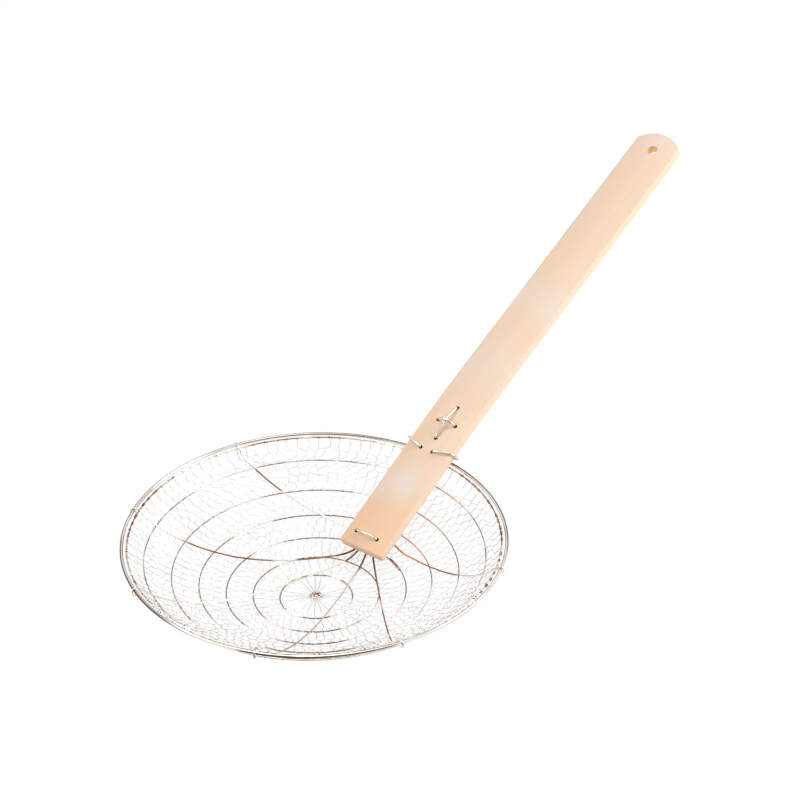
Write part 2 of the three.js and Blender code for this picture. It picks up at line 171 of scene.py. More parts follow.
class SkimmerNet(bpy.types.PropertyGroup):
    """Twisted wire net."""
    wire: length("Net wire", "Diameter of the net's wire", 0.3)
    hub_radius: length("Hub radius", "Where the spokes come out of the knot", 3.7)
    first_row: length("First row", "Radius of the first row of twists", 19)
    row_pitch: length("Row pitch", "Distance between rows of twists", 5.83)
    last_gap: length("Last gap", "From the last row of twists out to the edge wire", 3.2)
    cell_width: length("Cell width", "Width that the cells would have at the bowl's axis", 4.3)
    cell_growth: share("Cell growth", "How much wider the cells get per length outwards", 0.025)
    twist: length("Twist", "Length of a twist", 3.4)
    stray: share("Stray", "How far a twist strays from its place, as a share of its cell", 0.1)
    winding: length("Winding", "Thickness of the wire wound round the edge wire and the knot", 0.38)
    spoke_base: share("Spoke base", "How far a spoke starts from its pair's middle, in cells", 0.25)
    spoke_top: share("Spoke top", "How far a spoke ends from its pair's middle, in wires", 0.9)
    spoke_middle: share("Spoke middle", "Where a spoke bends, as a share of the first row's radius", 0.6)
    spoke_lift: share("Spoke lift", "How far a spoke strays up and down, in wires", 0.4)
    twist_lift: share("Twist lift", "How far a twist strays up and down, in wires", 0.15)
    winding_pitch: share("Winding pitch", "How far a winding goes along the edge wire, in its own wires", 1.1)
    winding_slack: share("Winding slack", "How much wider than the edge wire the loosest winding is", 1.4)
    winding_stray: share("Winding stray", "How far a strand's end strays along the edge wire, in cells", 0.16)
    winding_turns: shares("Winding turns", "Fewest and most turns of a strand's end", 0.9, 1.9)
    knot_points: whole("Knot points", "Bends of the knot's wire", 66)
    knot_sides: whole("Knot sides", "Bends in one turn of the knot's wire", 7)
    knot_stray: share("Knot stray", "How far a bend of the knot strays round it, in radians", 0.6)
    knot_reach: shares("Knot reach", "Least and most reach of the knot's wire, in hub radii", 0.15, 1.25)
    knot_lift: shares("Knot lift", "Lowest and highest place of the knot's wire, in windings", -0.5, 2)
    # Painted shade on the windings, on the stretch where the edge wire's inner face is in shade.
    winding_shade_turn: angle("Stain turn", "Middle of the stretch where the windings have browned", -73)
    winding_shade_spread: angle("Stain spread", "Half width of that stretch", 14)
    winding_shades: shares("Stained", "How much more the windings have browned there and elsewhere", 1.2, -0.55)
    seed: whole("Seed", "Number that sets where the twists stray", 11)


class SkimmerRibs(bpy.types.PropertyGroup):
    """Ribs that run from under the handle over the net to the rim. Three values are rear, side and front."""
    wire: length("Rib wire", "Diameter of the frame's ribs", 1.5)
    drawn: length("Rib drawn", "Diameter that the ribs are drawn with", 0.95)
    turns: angles("Turns", "Where the ribs hook on, round from the handle", 67.5, 112.5, 157.5)
    insets: lengths("Insets", "From the handle's tip to where the ribs leave it", 21, 8, 7)
    dives: angles("Dives", "How steeply the ribs drop away from the handle", 15.6, 3.4, 0.5)
    left_stray: angles("Left stray", "How far left ribs hook on off their angle", -2.4, 0.2, -2.7)
    right_stray: angles("Right stray", "How far right ribs hook on off their angle", 0.6, 2.3, -0.3)
    left_bow: lengths("Left bow", "How far left ribs bow toward the handle's line", 0, 4.5, -3)
    right_bow: lengths("Right bow", "How far right ribs bow toward the handle's line", 0, 0, 0)
    left_slip: lengths("Left slip", "How much nearer the tip left ribs leave the handle", 0, 5, 0)
    right_slip: lengths("Right slip", "How much nearer the tip right ribs leave the handle", 0, 0, 0)
    left_browned: shares("Left browned", "How much more left ribs have browned", -1.0, 0.4, -1.0)
    right_browned: shares("Right browned", "How much more right ribs have browned", 0.3, 0.7, -1.4)
    stretch: shares("Stretch", "Start and end of the left rear rib's brown, in rim radii", 0.75, 0.88)
    stretch_browned: shares("Stretch browned", "How much more it has browned there and elsewhere", 0.7, -1)
    front_greyed: share("Front greyed", "How grey the right front rib has become", 0.9)
    fresh: share("Fresh", "How much cleaner a rib is at the rim", 1.2)
    fresh_fade: shares("Fresh fade", "Where a rib gets cleaner and is cleanest, in rim radii", 0.7, 0.95)
    rear_overrun: length("Rear overrun", "Rear tail's length past the cross stitch", 10)
    side_overrun: length("Side overrun", "Side tail's length past the cross stitch", 8)
    front_tail: length("Front tail", "Front tail's length under the handle", 34)
    close_from: length("Close from", "From the rim in, where the tails start to close up", 38)
    close_to: length("Close to", "From the rim in, where the tails have closed up", 16)
    step: length("Step", "Spacing of a rib's points along the net", 13)
    corner: length("Corner", "Length on each side of the bend where a rib leaves the handle", 5)
    swell: share("Swell", "How much thicker a rib is by the handle's tip", 0.4)
    swell_fade: lengths("Swell fade", "From the tip, where a rib starts to swell and is thickest", 36, 18)
    hook_slack: length("Hook slack", "How far a hook hangs under the rim", 1.3)
    hook_beside: share("Hook beside", "How far a hook's end lies beside its start, in wires", 1.4)
    turn_inset: length("Turn inset", "From the edge wire in to where a rib turns up over it", 3)


class SkimmerHandle(bpy.types.PropertyGroup):
    """Flat bamboo slat, measured along its underside from where it crosses the rim."""
    width: length("Width", "Width of the handle at its far end", 36.4)
    thickness: length("Thickness", "Thickness of the handle", 6.5)
    inside: length("Inside", "From the rim in to the tip", 87)
    outside: length("Outside", "From the rim out to the far end", 305.1)
    tip_width: length("Tip width", "Width of the handle at its tip", 36)
    aside: length("Aside", "How far the handle sits off the bowl's middle line", -1.1)
    pitch: angle("Pitch", "Angle above level at the rim", 27.9)
    bend: angle("Bend", "Angle that the handle bends down over the lacing", 3.7)
    bend_start: length("Bend start", "Where the bend starts", 8)
    bend_length: length("Bend length", "How long the bend is", 50)
    crown: length("Crown", "How much higher the face is along its middle", 0.7)
    edge: length("Edge", "Radius of the face's rounded edges", 1.3)
    under_edge: length("Under edge", "Radius of the underside's rounded edges", 0.8)
    tip_corner: length("Tip corner", "Radius of the tip's corners", 2)
    end_corner: length("End corner", "Radius of the far end's corners", 1.6)
    end_bulge: length("End bulge", "How far the rounded end stands out past its corners", 8.5)
    hang_hole: length("Hanging hole", "Diameter of the hanging hole", 7.8)
    hang_inset: length("Hanging inset", "From the far end in to the hanging hole", 16.5)


class SkimmerLacing(bpy.types.PropertyGroup):
    """Wire stitches that hold the ribs and the rim to the handle."""
    wire: length("Stitch wire", "Diameter of the stitches", 1.55)
    play: length("Play", "Between a stitch and the wall of its hole", 0.65)
    pull: length("Pull", "How far a tight stitch leans from the middle of its hole", 0.55)
    tip_inset: length("Tip inset", "From the handle's tip to the tip stitch", 10.5)
    tip_span: length("Tip span", "Between the tip stitch's holes", 16.6)
    cross_from: length("Cross from", "From the rim out to the long stitch", 8.6)
    cross_length: length("Cross length", "Between the long stitch's holes", 26)
    cross_span: length("Cross span", "Between the short stitch's holes", 13.8)
    tie_slant: length("Tie slant", "How far the rim ties slant along the handle", 3.6)
    left_slack: length("Left slack", "How far the left rim tie stands off the handle's edge", 1.4)
    clinch_gap: length("Clinch gap", "Between a stitch's ends under the handle", 2)
    bow: length("Bow", "How far a long stitch stands off the handle at its middle", 2.1)
    tip_bow: length("Tip bow", "The same for the tip stitch", 1.68)
    tie_bow: length("Tie bow", "The same for the rim ties", 0.84)
    over_long: share("Over long", "How much higher the short stitch bows than the long one, in wires", 1.3)
    corner: share("Corner", "Length on each side of a stitch's bends, in wires", 0.7)
    tie_drop: share("Tie drop", "How far a rim tie follows the crowned face down, as a share of it", 0.8)
    tie_side: share("Tie side", "Height of a rim tie's bend beside the handle, in thicknesses", 0.6)
    tie_lean: share("Tie lean", "How far out along the handle that bend is, on its way past the rim", 0.4)
    shoulder: share("Shoulder", "From a rim tie's outer side in to its bend over the face, in wires", 1.4)


class SkimmerSteel(bpy.types.PropertyGroup):
    """Colours of the wires, where they have dulled and browned, and the shade and reflections painted on
    them.
    """
    bright: colour("Bright wire", "Rim and stitches", 0.87, 0.85, 0.83)
    bright_dull: colour("Bright wire, dulled", "Where the bright wire has dulled", 0.62, 0.57, 0.53)
    # Colour of the painted dark reflection on the rim's upper outer side.
    tarnish: colour("Tarnish", "Darkened outer side of the rim", 0.19, 0.14, 0.12)
    ring: colour("Ring wire", "Rings, ribs and edge wire", 0.93, 0.88, 0.81)
    ring_grey: colour("Ring wire, grey", "A rib that has dulled without browning", 0.66, 0.62, 0.585)
    ring_dull: colour("Ring wire, dulled", "Where rings and ribs have darkened", 0.32, 0.16, 0.08)
    # The darkest tone also paints the shade under the handle's tip.
    ring_deep: colour("Ring wire, deep", "Where rings and ribs are darkest", 0.17, 0.082, 0.038)
    # Painted reflection of the bamboo handle on the wire just right of it.
    ring_bamboo_reflection: colour("Ring wire, warm", "Browned wire just right of the handle", 0.84, 0.35, 0.10)
    net: colour("Net wire", "Thin wire of the net", 0.82, 0.81, 0.80)
    net_dull: colour("Net wire, dulled", "Where the net has dulled", 0.55, 0.52, 0.50)
    # Stretches of brown round the bowl, partly the wire's own brown and partly painted reflection: the clean
    # stretches between them stand for bright reflection.
    brown_and_reflection_turns: angles(
        "Browned turns", "Middles of the browned stretches, round from the handle", -30, 41, 122, 220)
    brown_and_reflection_spreads: angles("Browned spreads", "Half widths of the browned stretches", 28, 20, 40, 20)
    brown_and_reflection_fade: shares("Browned fade", "Where a stretch ends and is full, in half widths", 1.3, 0.7)
    hub_fade: lengths("Hub fade", "From the hub, where its brown starts to fade and ends", 7, 13)
    # Painted shade on the wire under the handle's tip, where the handle shades it.
    tip_shade_fade: lengths("Tip fade", "From the handle's tip, where its brown starts to fade and ends", 9, 20)
    tip_painted_shade: share("Tip browned", "How much more the wire has browned at the handle's tip", 1.8)
    # Where the painted reflection of the bamboo lies on the wires.
    bamboo_reflection_aside: length("Warm aside", "From the handle's line to the middle of the warm wire", 24)
    bamboo_reflection_fade: lengths("Warm fade", "From that middle, where the warm wire starts to fade and ends", 8, 36)
    bamboo_reflection_share: share("Warm share", "How warm that wire is", 0.85)
    bamboo_reflection_inner: lengths("Warm inner", "From the bowl's axis, where the warm wire starts and is full", 40, 65)
    bamboo_reflection_outer: lengths("Warm outer", "From the bowl's axis, where it starts to fade and has faded", 109, 115)
    bright_rough: share("Bright wire, roughness", "Roughness of rim and stitches", 0.07)
    ring_rough: share("Ring wire, roughness", "Roughness of rings and ribs, twice that where browned", 0.2)
    net_rough: share("Net wire, roughness", "Roughness of the net's wire", 0.3)


class SkimmerBamboo(bpy.types.PropertyGroup):
    """Colours of the bamboo, where they change along the handle, and the light, shade and sheen painted on
    it.
    """
    face: colour("Bamboo", "Face of the handle", 0.935, 0.70, 0.52)
    tip: colour("Bamboo tip", "Face of the handle at its tip", 0.945, 0.635, 0.415)
    # Painted light: a paler face round the lacing that fills in the shade of the stitches.
    lacing_painted_light: colour("Bamboo, laced", "Face of the handle round its lacing", 0.985, 0.735, 0.535)
    # Painted sheen: the pale bands stand for sheen on the face.
    node: colour("Bamboo node", "Pale band where the cane had a node", 0.90, 0.755, 0.64)
    end: colour("Bamboo end", "Face of the handle at its far end", 0.90, 0.68, 0.51)
    # Painted shade: the left half of the face is darkened as if the light came from the right.
    shade: colour("Bamboo shade", "Darkens the left half of the handle's face", 0.93, 0.92, 0.91)
    # The sides' pale colour is partly the sawn bamboo's own and partly painted light.
    side: colour("Bamboo side", "Sawn sides of the handle", 0.98, 0.76, 0.575)
    fibre: colour("Fibre", "Dark fibres in the bamboo", 0.76, 0.50, 0.31)
    # Near-black walls of the lacing holes: painted shade in the narrow holes.
    drilled: colour("Drilled", "Walls of the drilled holes", 0.10, 0.05, 0.022)
    bored: colour("Bored", "Wall of the hanging hole", 0.95, 0.66, 0.36)
    grain_wander: length("Grain wander", "How far the bamboo's tones stray along the handle", 9)
    tip_tone: lengths("Tip tone", "From the tip, where its tone starts to fade and ends", 25, 70)
    end_tone: lengths("End tone", "From the far end, where its tone ends and is full", 165, 85)
    lacing_light_band: lengths("Laced band", "Middle and reach of the laced part's tone, out from the rim", 18, 34)
    # Where the painted sheen lies: bands along the handle, at the far end and in a patch.
    sheen_middles: lengths("Node middles", "Middles of the pale bands, out from the rim", 78, 141)
    sheen_spreads: lengths("Node spreads", "Reach of the pale bands to each side", 34, 25)
    sheen_shares: shares("Node shares", "How pale those bands are", 0.65, 0.8)
    end_sheen_spread: length("End spread", "Reach of the far end's pale band", 22)
    end_sheen_share: share("End share", "How pale that band is", 0.6)
    sheen_patch_band: lengths("Patch band", "Middle and reach of the pale patch, out from the rim", -33, 25)
    sheen_patch_aside: length("Patch aside", "From the handle's line to the middle of that patch", 1.5)
    sheen_patch_fade: lengths("Patch fade", "From that middle, where the patch starts to fade and ends", 4, 17)
    sheen_patch_shares: shares("Patch shares", "How pale the patch is at its middle and at its sides", 1.1, 0.25)
    # Where the painted shade on the left half starts and is full.
    shade_fade: lengths("Shade fade", "Across the handle, where the shade starts and is full", -15, 15)


class SkimmerStage(bpy.types.PropertyGroup):
    """Camera, light and floor."""
    azimuth: angle("Azimuth", "Where the camera stands round the bowl", -51.25)
    elevation: angle("Elevation", "How far above level the camera stands", 32.272)
    roll: angle("Roll", "How far the camera leans", -0.596)
    distance: length("Distance", "From the camera to the point that it looks at", 1900)
    lens: FloatProperty(name="Lens", description="Focal length", default=120.855, unit="CAMERA")
    aim_along: length("Aim along", "From the bowl's axis to the aim, along the handle", 167.32)
    aim_across: length("Aim across", "From the handle's line to the aim", 61.22)
    sky: share("Sky", "Strength of the even light from all round", 0.38)
    lamp_distance: length("Lamp distance", "From the rim's middle to each lamp", 2600)
    lamp: FloatProperty(name="Lamp", description="Power of the largest lamp", default=42, unit="POWER")
    flag: colour("Flags", "Dark cards that only reflections see", 0.06, 0.043, 0.033)
    front_flag_gap: length("Front flag gap", "From the bowl's axis to the dark card on the floor", 450)
    front_flag_size: length("Front flag size", "Side of that square card", 500)
    front_flag_lift: length("Front flag lift", "Height of that card above the floor", 2)
    floor: colour("Floor", "Floor under the skimmer", 0.94, 0.94, 0.94)
    floor_size: length("Floor size", "Side of the square floor", 12000)
    floor_glow: share("Floor glow", "Strength of the floor's own white, where it is seen", 1.01)
    floor_white: share("Floor white", "Share of that white in what is seen of the floor", 0.9)
    sensor: FloatProperty(name="Sensor", description="Sensor width", default=36, unit="CAMERA")


class SkimmerSettings(bpy.types.PropertyGroup):
    """All that a user would change about the skimmer."""
    bowl: PointerProperty(type=SkimmerBowl)
    net: PointerProperty(type=SkimmerNet)
    ribs: PointerProperty(type=SkimmerRibs)
    handle: PointerProperty(type=SkimmerHandle)
    lacing: PointerProperty(type=SkimmerLacing)
    steel: PointerProperty(type=SkimmerSteel)
    bamboo: PointerProperty(type=SkimmerBamboo)
    stage: PointerProperty(type=SkimmerStage)


# Shapes that the pieces follow

class Dish:
    """The bowl: the surface through the middle of its net, its edge wire and its rim."""

    def __init__(self, bowl):
        low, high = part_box("net_edge_wire")
        self.axis = (low.x + high.x) / 2
        self.edge_radius = (high.x - low.x - bowl.edge_wire) / 2
        self.edge_height = (low.z + high.z) / 2
        self.hoop_radius = self.edge_radius + bowl.edge_out
        self.hoop_height = self.edge_height + bowl.edge_up
        low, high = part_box("rim_wire")
        self.rim_radius = (high.x - low.x - bowl.rim_wire) / 2
        self.rim_height = (low.z + high.z) / 2
        self.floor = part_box("wire_net")[0].z + bowl.net_thickness / 2
        self.powers = (bowl.dish_power, bowl.flare_power, bowl.flare_share)

    def height(self, radius):
        """Height of the net's middle at a distance from the bowl's axis."""
        dish_power, flare_power, flare_share = self.powers
        part = radius / self.edge_radius
        rise = (1 - flare_share) * part ** dish_power + flare_share * part ** flare_power
        return self.floor + (self.edge_height - self.floor) * rise

    def slope(self, radius):
        """Outward and upward parts of the wall's own direction."""
        step = 0.01 * MM
        rise = (self.height(radius + step) - self.height(radius - step)) / (2 * step)
        size = math.hypot(1, rise)
        return 1 / size, rise / size

    def at(self, radius, turn, height):
        """The point at a radius, an angle round from the handle and a height."""
        return Vector((self.axis + radius * math.cos(turn), radius * math.sin(turn), height))

    def on(self, radius, turn, lift=0.0):
        """The point on the net, lifted square to it."""
        out, up = self.slope(radius)
        return self.at(radius - lift * up, turn, self.height(radius) + lift * out)

    def above(self, x, y, lift):
        """The point on the net that is seen at x and y from the axis, lifted square to it."""
        return self.on(math.hypot(x, y), math.atan2(y, x), lift)

    def round_wire(self, turn, radius, height, reach, bearings):
        """Points of an arc round a hoop's wire, in the upright plane at one angle."""
        points = []
        for bearing in bearings:
            out = reach * math.cos(math.radians(bearing))
            up = reach * math.sin(math.radians(bearing))
            points.append(self.at(radius + out, turn, height + up))
        return points


class Slat:
    """The handle's bent line, measured from where it crosses the rim."""

    def __init__(self, settings, dish):
        handle = settings.handle
        bowl = settings.bowl
        self.pitch = handle.pitch
        self.bend = handle.bend
        self.bend_start = handle.bend_start
        self.bend_length = handle.bend_length
        self.tip = -handle.inside
        self.end = handle.outside
        inset = dish.rim_radius - dish.edge_radius
        drop = dish.rim_height - dish.edge_height
        rise = inset * math.sin(self.pitch) - drop * math.cos(self.pitch)
        self.tail_room = settings.ribs.wire + 2 * bowl.touch
        self.seat = max(bowl.rim_wire / 2, bowl.edge_wire / 2 + rise) + self.tail_room
        self.start = Vector((dish.axis + dish.rim_radius, 0, dish.rim_height))

    def point(self, along, across, above):
        """The point at a distance along the handle, across it and above its underside."""
        bent = min(max(along - self.bend_start, 0), self.bend_length)
        pitch = self.pitch - self.bend * bent / self.bend_length
        radius = self.bend_length / self.bend
        straight = min(along, self.bend_start)
        beyond = max(along - self.bend_start - self.bend_length, 0)
        out = straight * math.cos(self.pitch) + beyond * math.cos(pitch)
        out += radius * (math.sin(self.pitch) - math.sin(pitch))
        up = straight * math.sin(self.pitch) + beyond * math.sin(pitch)
        up += radius * (math.cos(pitch) - math.cos(self.pitch))
        out -= self.seat * math.sin(self.pitch) + above * math.sin(pitch)
        up += self.seat * math.cos(self.pitch) + above * math.cos(pitch)
        return self.start + Vector((out, across, up))


def shapes(context):
    """The settings, the bowl and the handle's line."""
    settings = context.scene.skimmer
    dish = Dish(settings.bowl)
    return settings, dish, Slat(settings, dish)


def tie_place(settings, dish, slat):
    """Where the rim ties' holes are, along the handle and across it."""
    bowl = settings.bowl
    ribs = settings.ribs
    wire = settings.lacing.wire
    inset = dish.rim_radius - dish.edge_radius
    drop = dish.rim_height - dish.edge_height
    between = math.hypot(inset, drop) - bowl.rim_wire / 2 - bowl.edge_wire / 2
    reach = bowl.rim_wire / 2 + between / 2
    along = -reach * math.cos(slat.pitch - math.atan2(drop, inset))
    tails = wire / 2 + 2 * (bowl.touch + ribs.wire)
    return along, tails + bowl.touch + wire / 2


def part_way(value, start, end):
    """How far a value is on its way from start to end, held between 0 and 1."""
    return min(max((value - start) / (end - start), 0), 1)


def round_corner(before, corner, after, reach):
    """Three points that round off a wire's corner, starting and ending a set reach from it."""
    start = corner + (before - corner).normalized() * reach
    end = corner + (after - corner).normalized() * reach
    middle = ((start + end) / 2).lerp(corner, math.sqrt(2) - 1)
    return [start, middle, end]


def rounded(corners, reach):
    """A path through corners, with each one between the ends rounded off."""
    points = [corners[0]]
    for before, corner, after in zip(corners, corners[1:], corners[2:]):
        points += round_corner(before, corner, after, reach)
    return points + [corners[-1]]


# Making pieces

def draw_wire(name, paths, diameter, sides, closed=False, steps=0, swell=None):
    """One mesh of round wire along each path, smoothed into steps between its points if there are any.

    swell gives the factor by which the wire is thicker at a place.
    """
    bpy.ops.object.select_all(action="DESELECT")
    bpy.ops.object.add(type="CURVE", location=(0, 0, 0))
    drawing = bpy.context.object.data
    drawing.dimensions = "3D"
    drawing.bevel_depth = diameter / 2
    drawing.bevel_resolution = (sides - 4) // 2
    drawing.use_fill_caps = True
    for path in paths:
        spline = drawing.splines.new("BEZIER" if steps else "POLY")
        spline.use_cyclic_u = closed
        if steps:
            spline.resolution_u = steps
            spline.bezier_points.add(len(path) - 1)
            for knot, place in zip(spline.bezier_points, path):
                knot.co = place
                knot.radius = swell(place) if swell else 1
                knot.handle_left_type = "AUTO"
                knot.handle_right_type = "AUTO"
        else:
            spline.points.add(len(path) - 1)
            for knot, place in zip(spline.points, path):
                knot.co = (*place, 1)
    bpy.ops.object.convert(target="MESH")
    bpy.ops.object.shade_smooth()
    piece = bpy.context.object
    piece.name = name
    piece.data.name = name
    return piece


def finish_piece(piece, material, slot, *nodes):
    """Gives a piece its finish and puts it in the place of the frame's nodes."""
    if not piece.data.materials:
        piece.data.materials.append(material)
    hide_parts(*nodes)
    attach(piece, BODY)


# Materials

def store(piece, name, value_at):
    """Gives each point of a piece a value for its material to read."""
    layer = piece.data.attributes.new(name, "FLOAT", "POINT")
    layer.data.foreach_set("value", [value_at(point.co) for point in piece.data.vertices])


def clean_front(dish, elsewhere, front):
    """Gives places of a wire one value, and another at the bowl's front right."""
    return lambda spot: front if spot.x < dish.axis and spot.y < 0 else elsewhere


class Bench:
    """The nodes of a material or of the sky, with short calls to add and join them."""
    # Numbers of a mix node's sockets for its factor and two colours, and of its mixed colour
    MIX_INPUTS = (0, 6, 7)
    MIX_OUTPUT = 2

    def __init__(self, owner, shader="Principled BSDF"):
        owner.use_nodes = True
        self.owner = owner
        self.tree = owner.node_tree
        self.shader = self.tree.nodes[shader]

    def put(self, socket, value):
        """Joins a socket to another one, or sets it to a number, a place or a colour."""
        if isinstance(value, bpy.types.NodeSocket):
            self.tree.links.new(value, socket)
        elif socket.type == "RGBA":
            socket.default_value = (*value, 1)
        else:
            socket.default_value = value

    def feed(self, node, **sockets):
        """Fills a node's sockets, named with _ for a space."""
        for name, value in sockets.items():
            self.put(node.inputs[name.replace("_", " ")], value)

    def add(self, kind, *values, choices=None, **sockets):
        """A new node with its choices made and its sockets filled, the first ones in order."""
        node = self.tree.nodes.new(kind)
        for name, value in (choices or {}).items():
            setattr(node, name, value)
        for socket, value in zip(node.inputs, values):
            self.put(socket, value)
        self.feed(node, **sockets)
        return node

    def place(self):
        """Where a point of the piece is."""
        return self.add("ShaderNodeTexCoord").outputs["Object"]

    def layer(self, name, output="Fac"):
        """What the piece carries at its points."""
        return self.add("ShaderNodeAttribute", choices={"attribute_name": name}).outputs[output]

    def noise(self, place, scale, detail=2.0, roughness=0.5):
        """Soft noise at a scale in cells per metre."""
        node = self.add(
            "ShaderNodeTexNoise", Vector=place, Scale=scale, Detail=detail, Roughness=roughness)
        return node.outputs["Fac"]

    def grain(self, place, along, across, detail=2.0, roughness=0.5):
        """Noise with its own cells per metre along the piece and across it."""
        scales = (along, across, across)
        stretched = self.add("ShaderNodeVectorMath", place, scales, choices={"operation": "MULTIPLY"})
        return self.noise(stretched.outputs["Vector"], 1, detail, roughness)

    def ramp(self, value, low, high, to_low=0.0, to_high=1.0):
        """A value eased from one range to another and held at its ends."""
        node = self.add("ShaderNodeMapRange", choices={"interpolation_type": "SMOOTHSTEP"}, Value=value)
        self.feed(node, From_Min=low, From_Max=high, To_Min=to_low, To_Max=to_high)
        return node.outputs["Result"]

    def mix(self, factor, first, second, blend="MIX"):
        """Two colours mixed by a factor."""
        node = self.add("ShaderNodeMix", choices={"data_type": "RGBA", "blend_type": blend})
        for number, value in zip(self.MIX_INPUTS, (factor, first, second)):
            self.put(node.inputs[number], value)
        return node.outputs[self.MIX_OUTPUT]

    def math(self, operation, *values):
        """Numbers put together."""
        return self.add("ShaderNodeMath", *values, choices={"operation": operation}).outputs["Value"]

    def measure(self, operation, first, second):
        """A number got from two vectors."""
        node = self.add("ShaderNodeVectorMath", first, second, choices={"operation": operation})
        return node.outputs["Value"]

    def seen(self):
        """1 where the camera, a reflection or a clear body looks, and 0 for light that bounces on."""
        path = self.add("ShaderNodeLightPath")
        either = self.math("MAXIMUM", path.outputs["Is Camera Ray"], path.outputs["Is Glossy Ray"])
        return self.math("MAXIMUM", either, path.outputs["Is Transmission Ray"])

    def bump(self, height, strength, distance):
        """Fine relief on the finished surface."""
        node = self.add("ShaderNodeBump", Height=height, Strength=strength, Distance=distance)
        self.feed(self.shader, Normal=node.outputs["Normal"])


def new_material(name):
    """A bench for a new material."""
    return Bench(bpy.data.materials.new(name))


def die_marks(bench, place):
    """Fine marks that the drawing die leaves on a wire."""
    return bench.noise(place, scale=2500, roughness=0.6)


def wire_finish(name, clean, dull, tarnish, roughness):
    """Drawn steel wire: clean metal with dulled stretches, fine marks from the drawing die, and a painted
    dark reflection where a piece carries one.
    """
    bench = new_material(name)
    place = bench.place()
    blotches = bench.noise(place, scale=35, detail=3)
    marks = die_marks(bench, place)
    dulled = bench.ramp(blotches, 0.42, 0.72)
    speckled = bench.ramp(marks, 0.35, 0.75, to_high=0.35)
    tint = bench.mix(dulled, clean, dull)
    tint = bench.mix(speckled, tint, dull)
    # Painted dark reflection, where the piece carries one.
    tint = bench.mix(bench.layer("tarnished"), tint, tarnish)
    rough = bench.ramp(blotches, 0.3, 0.8, to_low=0.8 * roughness, to_high=1.4 * roughness)
    bench.feed(bench.shader, Base_Color=tint, Roughness=rough, Metallic=1.0, Specular_Tint=tint)
    bench.bump(marks, strength=0.08, distance=0.05 * MM)
    return bench.owner


def ring_finish(name, steel, dish, slat):
    """Thin wire that has browned at the hub and in stretches round the bowl, with painted shade under the
    handle's tip and a painted reflection of the bamboo just right of the handle.
    """
    bench = new_material(name)
    place = bench.place()
    spot = bench.add("ShaderNodeSeparateXYZ", place)
    outward = bench.math("SUBTRACT", spot.outputs["X"], dish.axis)
    browned_and_shaded = browning_and_shade(bench, steel, dish, slat, place, spot, outward)
    # Painted reflection of the bamboo on the wire just right of the handle.
    beside = bench.math("ABSOLUTE", bench.math("ADD", spot.outputs["Y"], steel.bamboo_reflection_aside))
    warm = bench.ramp(beside, *steel.bamboo_reflection_fade, to_low=steel.bamboo_reflection_share, to_high=0)
    warm = bench.math("MULTIPLY", warm, bench.ramp(outward, *steel.bamboo_reflection_inner))
    warm = bench.math("MULTIPLY", warm, bench.ramp(outward, *steel.bamboo_reflection_outer, to_low=1, to_high=0.2))
    # The darkest tone goes to the deepest brown and to the painted shade under the handle's tip.
    deep = bench.math("SUBTRACT", bench.ramp(browned_and_shaded, 0.85, 1.35), warm)
    dull = bench.mix(warm, steel.ring_dull, steel.ring_bamboo_reflection)
    dull = bench.mix(deep, dull, steel.ring_deep)
    clean = bench.mix(bench.layer("greyed"), steel.ring, steel.ring_grey)
    # Mix toward the dull tone: browning, partly painted reflection, and painted shade.
    brown = bench.ramp(browned_and_shaded, 0.25, 0.75)
    marks = die_marks(bench, place)
    speckled = bench.ramp(marks, 0.35, 0.75, to_high=0.25)
    tint = bench.mix(brown, clean, dull)
    tint = bench.mix(speckled, tint, steel.ring_dull)
    rough = bench.ramp(brown, 0, 1, to_low=steel.ring_rough, to_high=2 * steel.ring_rough)
    metal = bench.ramp(brown, 0, 1, to_low=1, to_high=0.6)
    bench.feed(bench.shader, Base_Color=tint, Roughness=rough, Metallic=metal, Specular_Tint=tint)
    bench.bump(marks, strength=0.15, distance=0.05 * MM)
    return bench.owner


def browning_and_shade(bench, steel, dish, slat, place, spot, outward):
    """How dark the wire is painted: its browning, partly painted reflection, and painted shade under the
    handle's tip; 0 where it is clean, 1 and more where it is dark.
    """
    hub = bench.measure("DISTANCE", place, dish.at(0, 0, dish.floor))
    tip = bench.measure("DISTANCE", place, slat.point(slat.tip, 0, 0))
    around = bench.math("ARCTAN2", spot.outputs["Y"], outward)
    browned_and_shaded = bench.ramp(hub, *steel.hub_fade, to_low=1, to_high=0)
    # Brown stretches round the bowl, partly painted reflection: the clean stretches between them stand for
    # bright reflection.
    for turn, spread in zip(steel.brown_and_reflection_turns, steel.brown_and_reflection_spreads):
        toward = bench.math("COSINE", bench.math("SUBTRACT", around, turn))
        ends = [math.cos(part * spread) for part in steel.brown_and_reflection_fade]
        browned_and_shaded = bench.math("MAXIMUM", browned_and_shaded, bench.ramp(toward, *ends))
    browned_and_shaded = bench.math("MAXIMUM", browned_and_shaded, bench.layer("browned_least"))
    # Each wire's own browning, and the windings' painted shade.
    browned_and_shaded = bench.math("ADD", browned_and_shaded, bench.layer("browned_more"))
    # Painted shade on the wire under the handle's tip.
    browned_and_shaded = bench.math("ADD", browned_and_shaded, bench.ramp(tip, *steel.tip_shade_fade, to_low=steel.tip_painted_shade, to_high=0))
    patches = bench.noise(place, scale=55, detail=3)
    return bench.math("ADD", browned_and_shaded, bench.ramp(patches, 0.3, 0.7, to_low=-0.35, to_high=0.35))


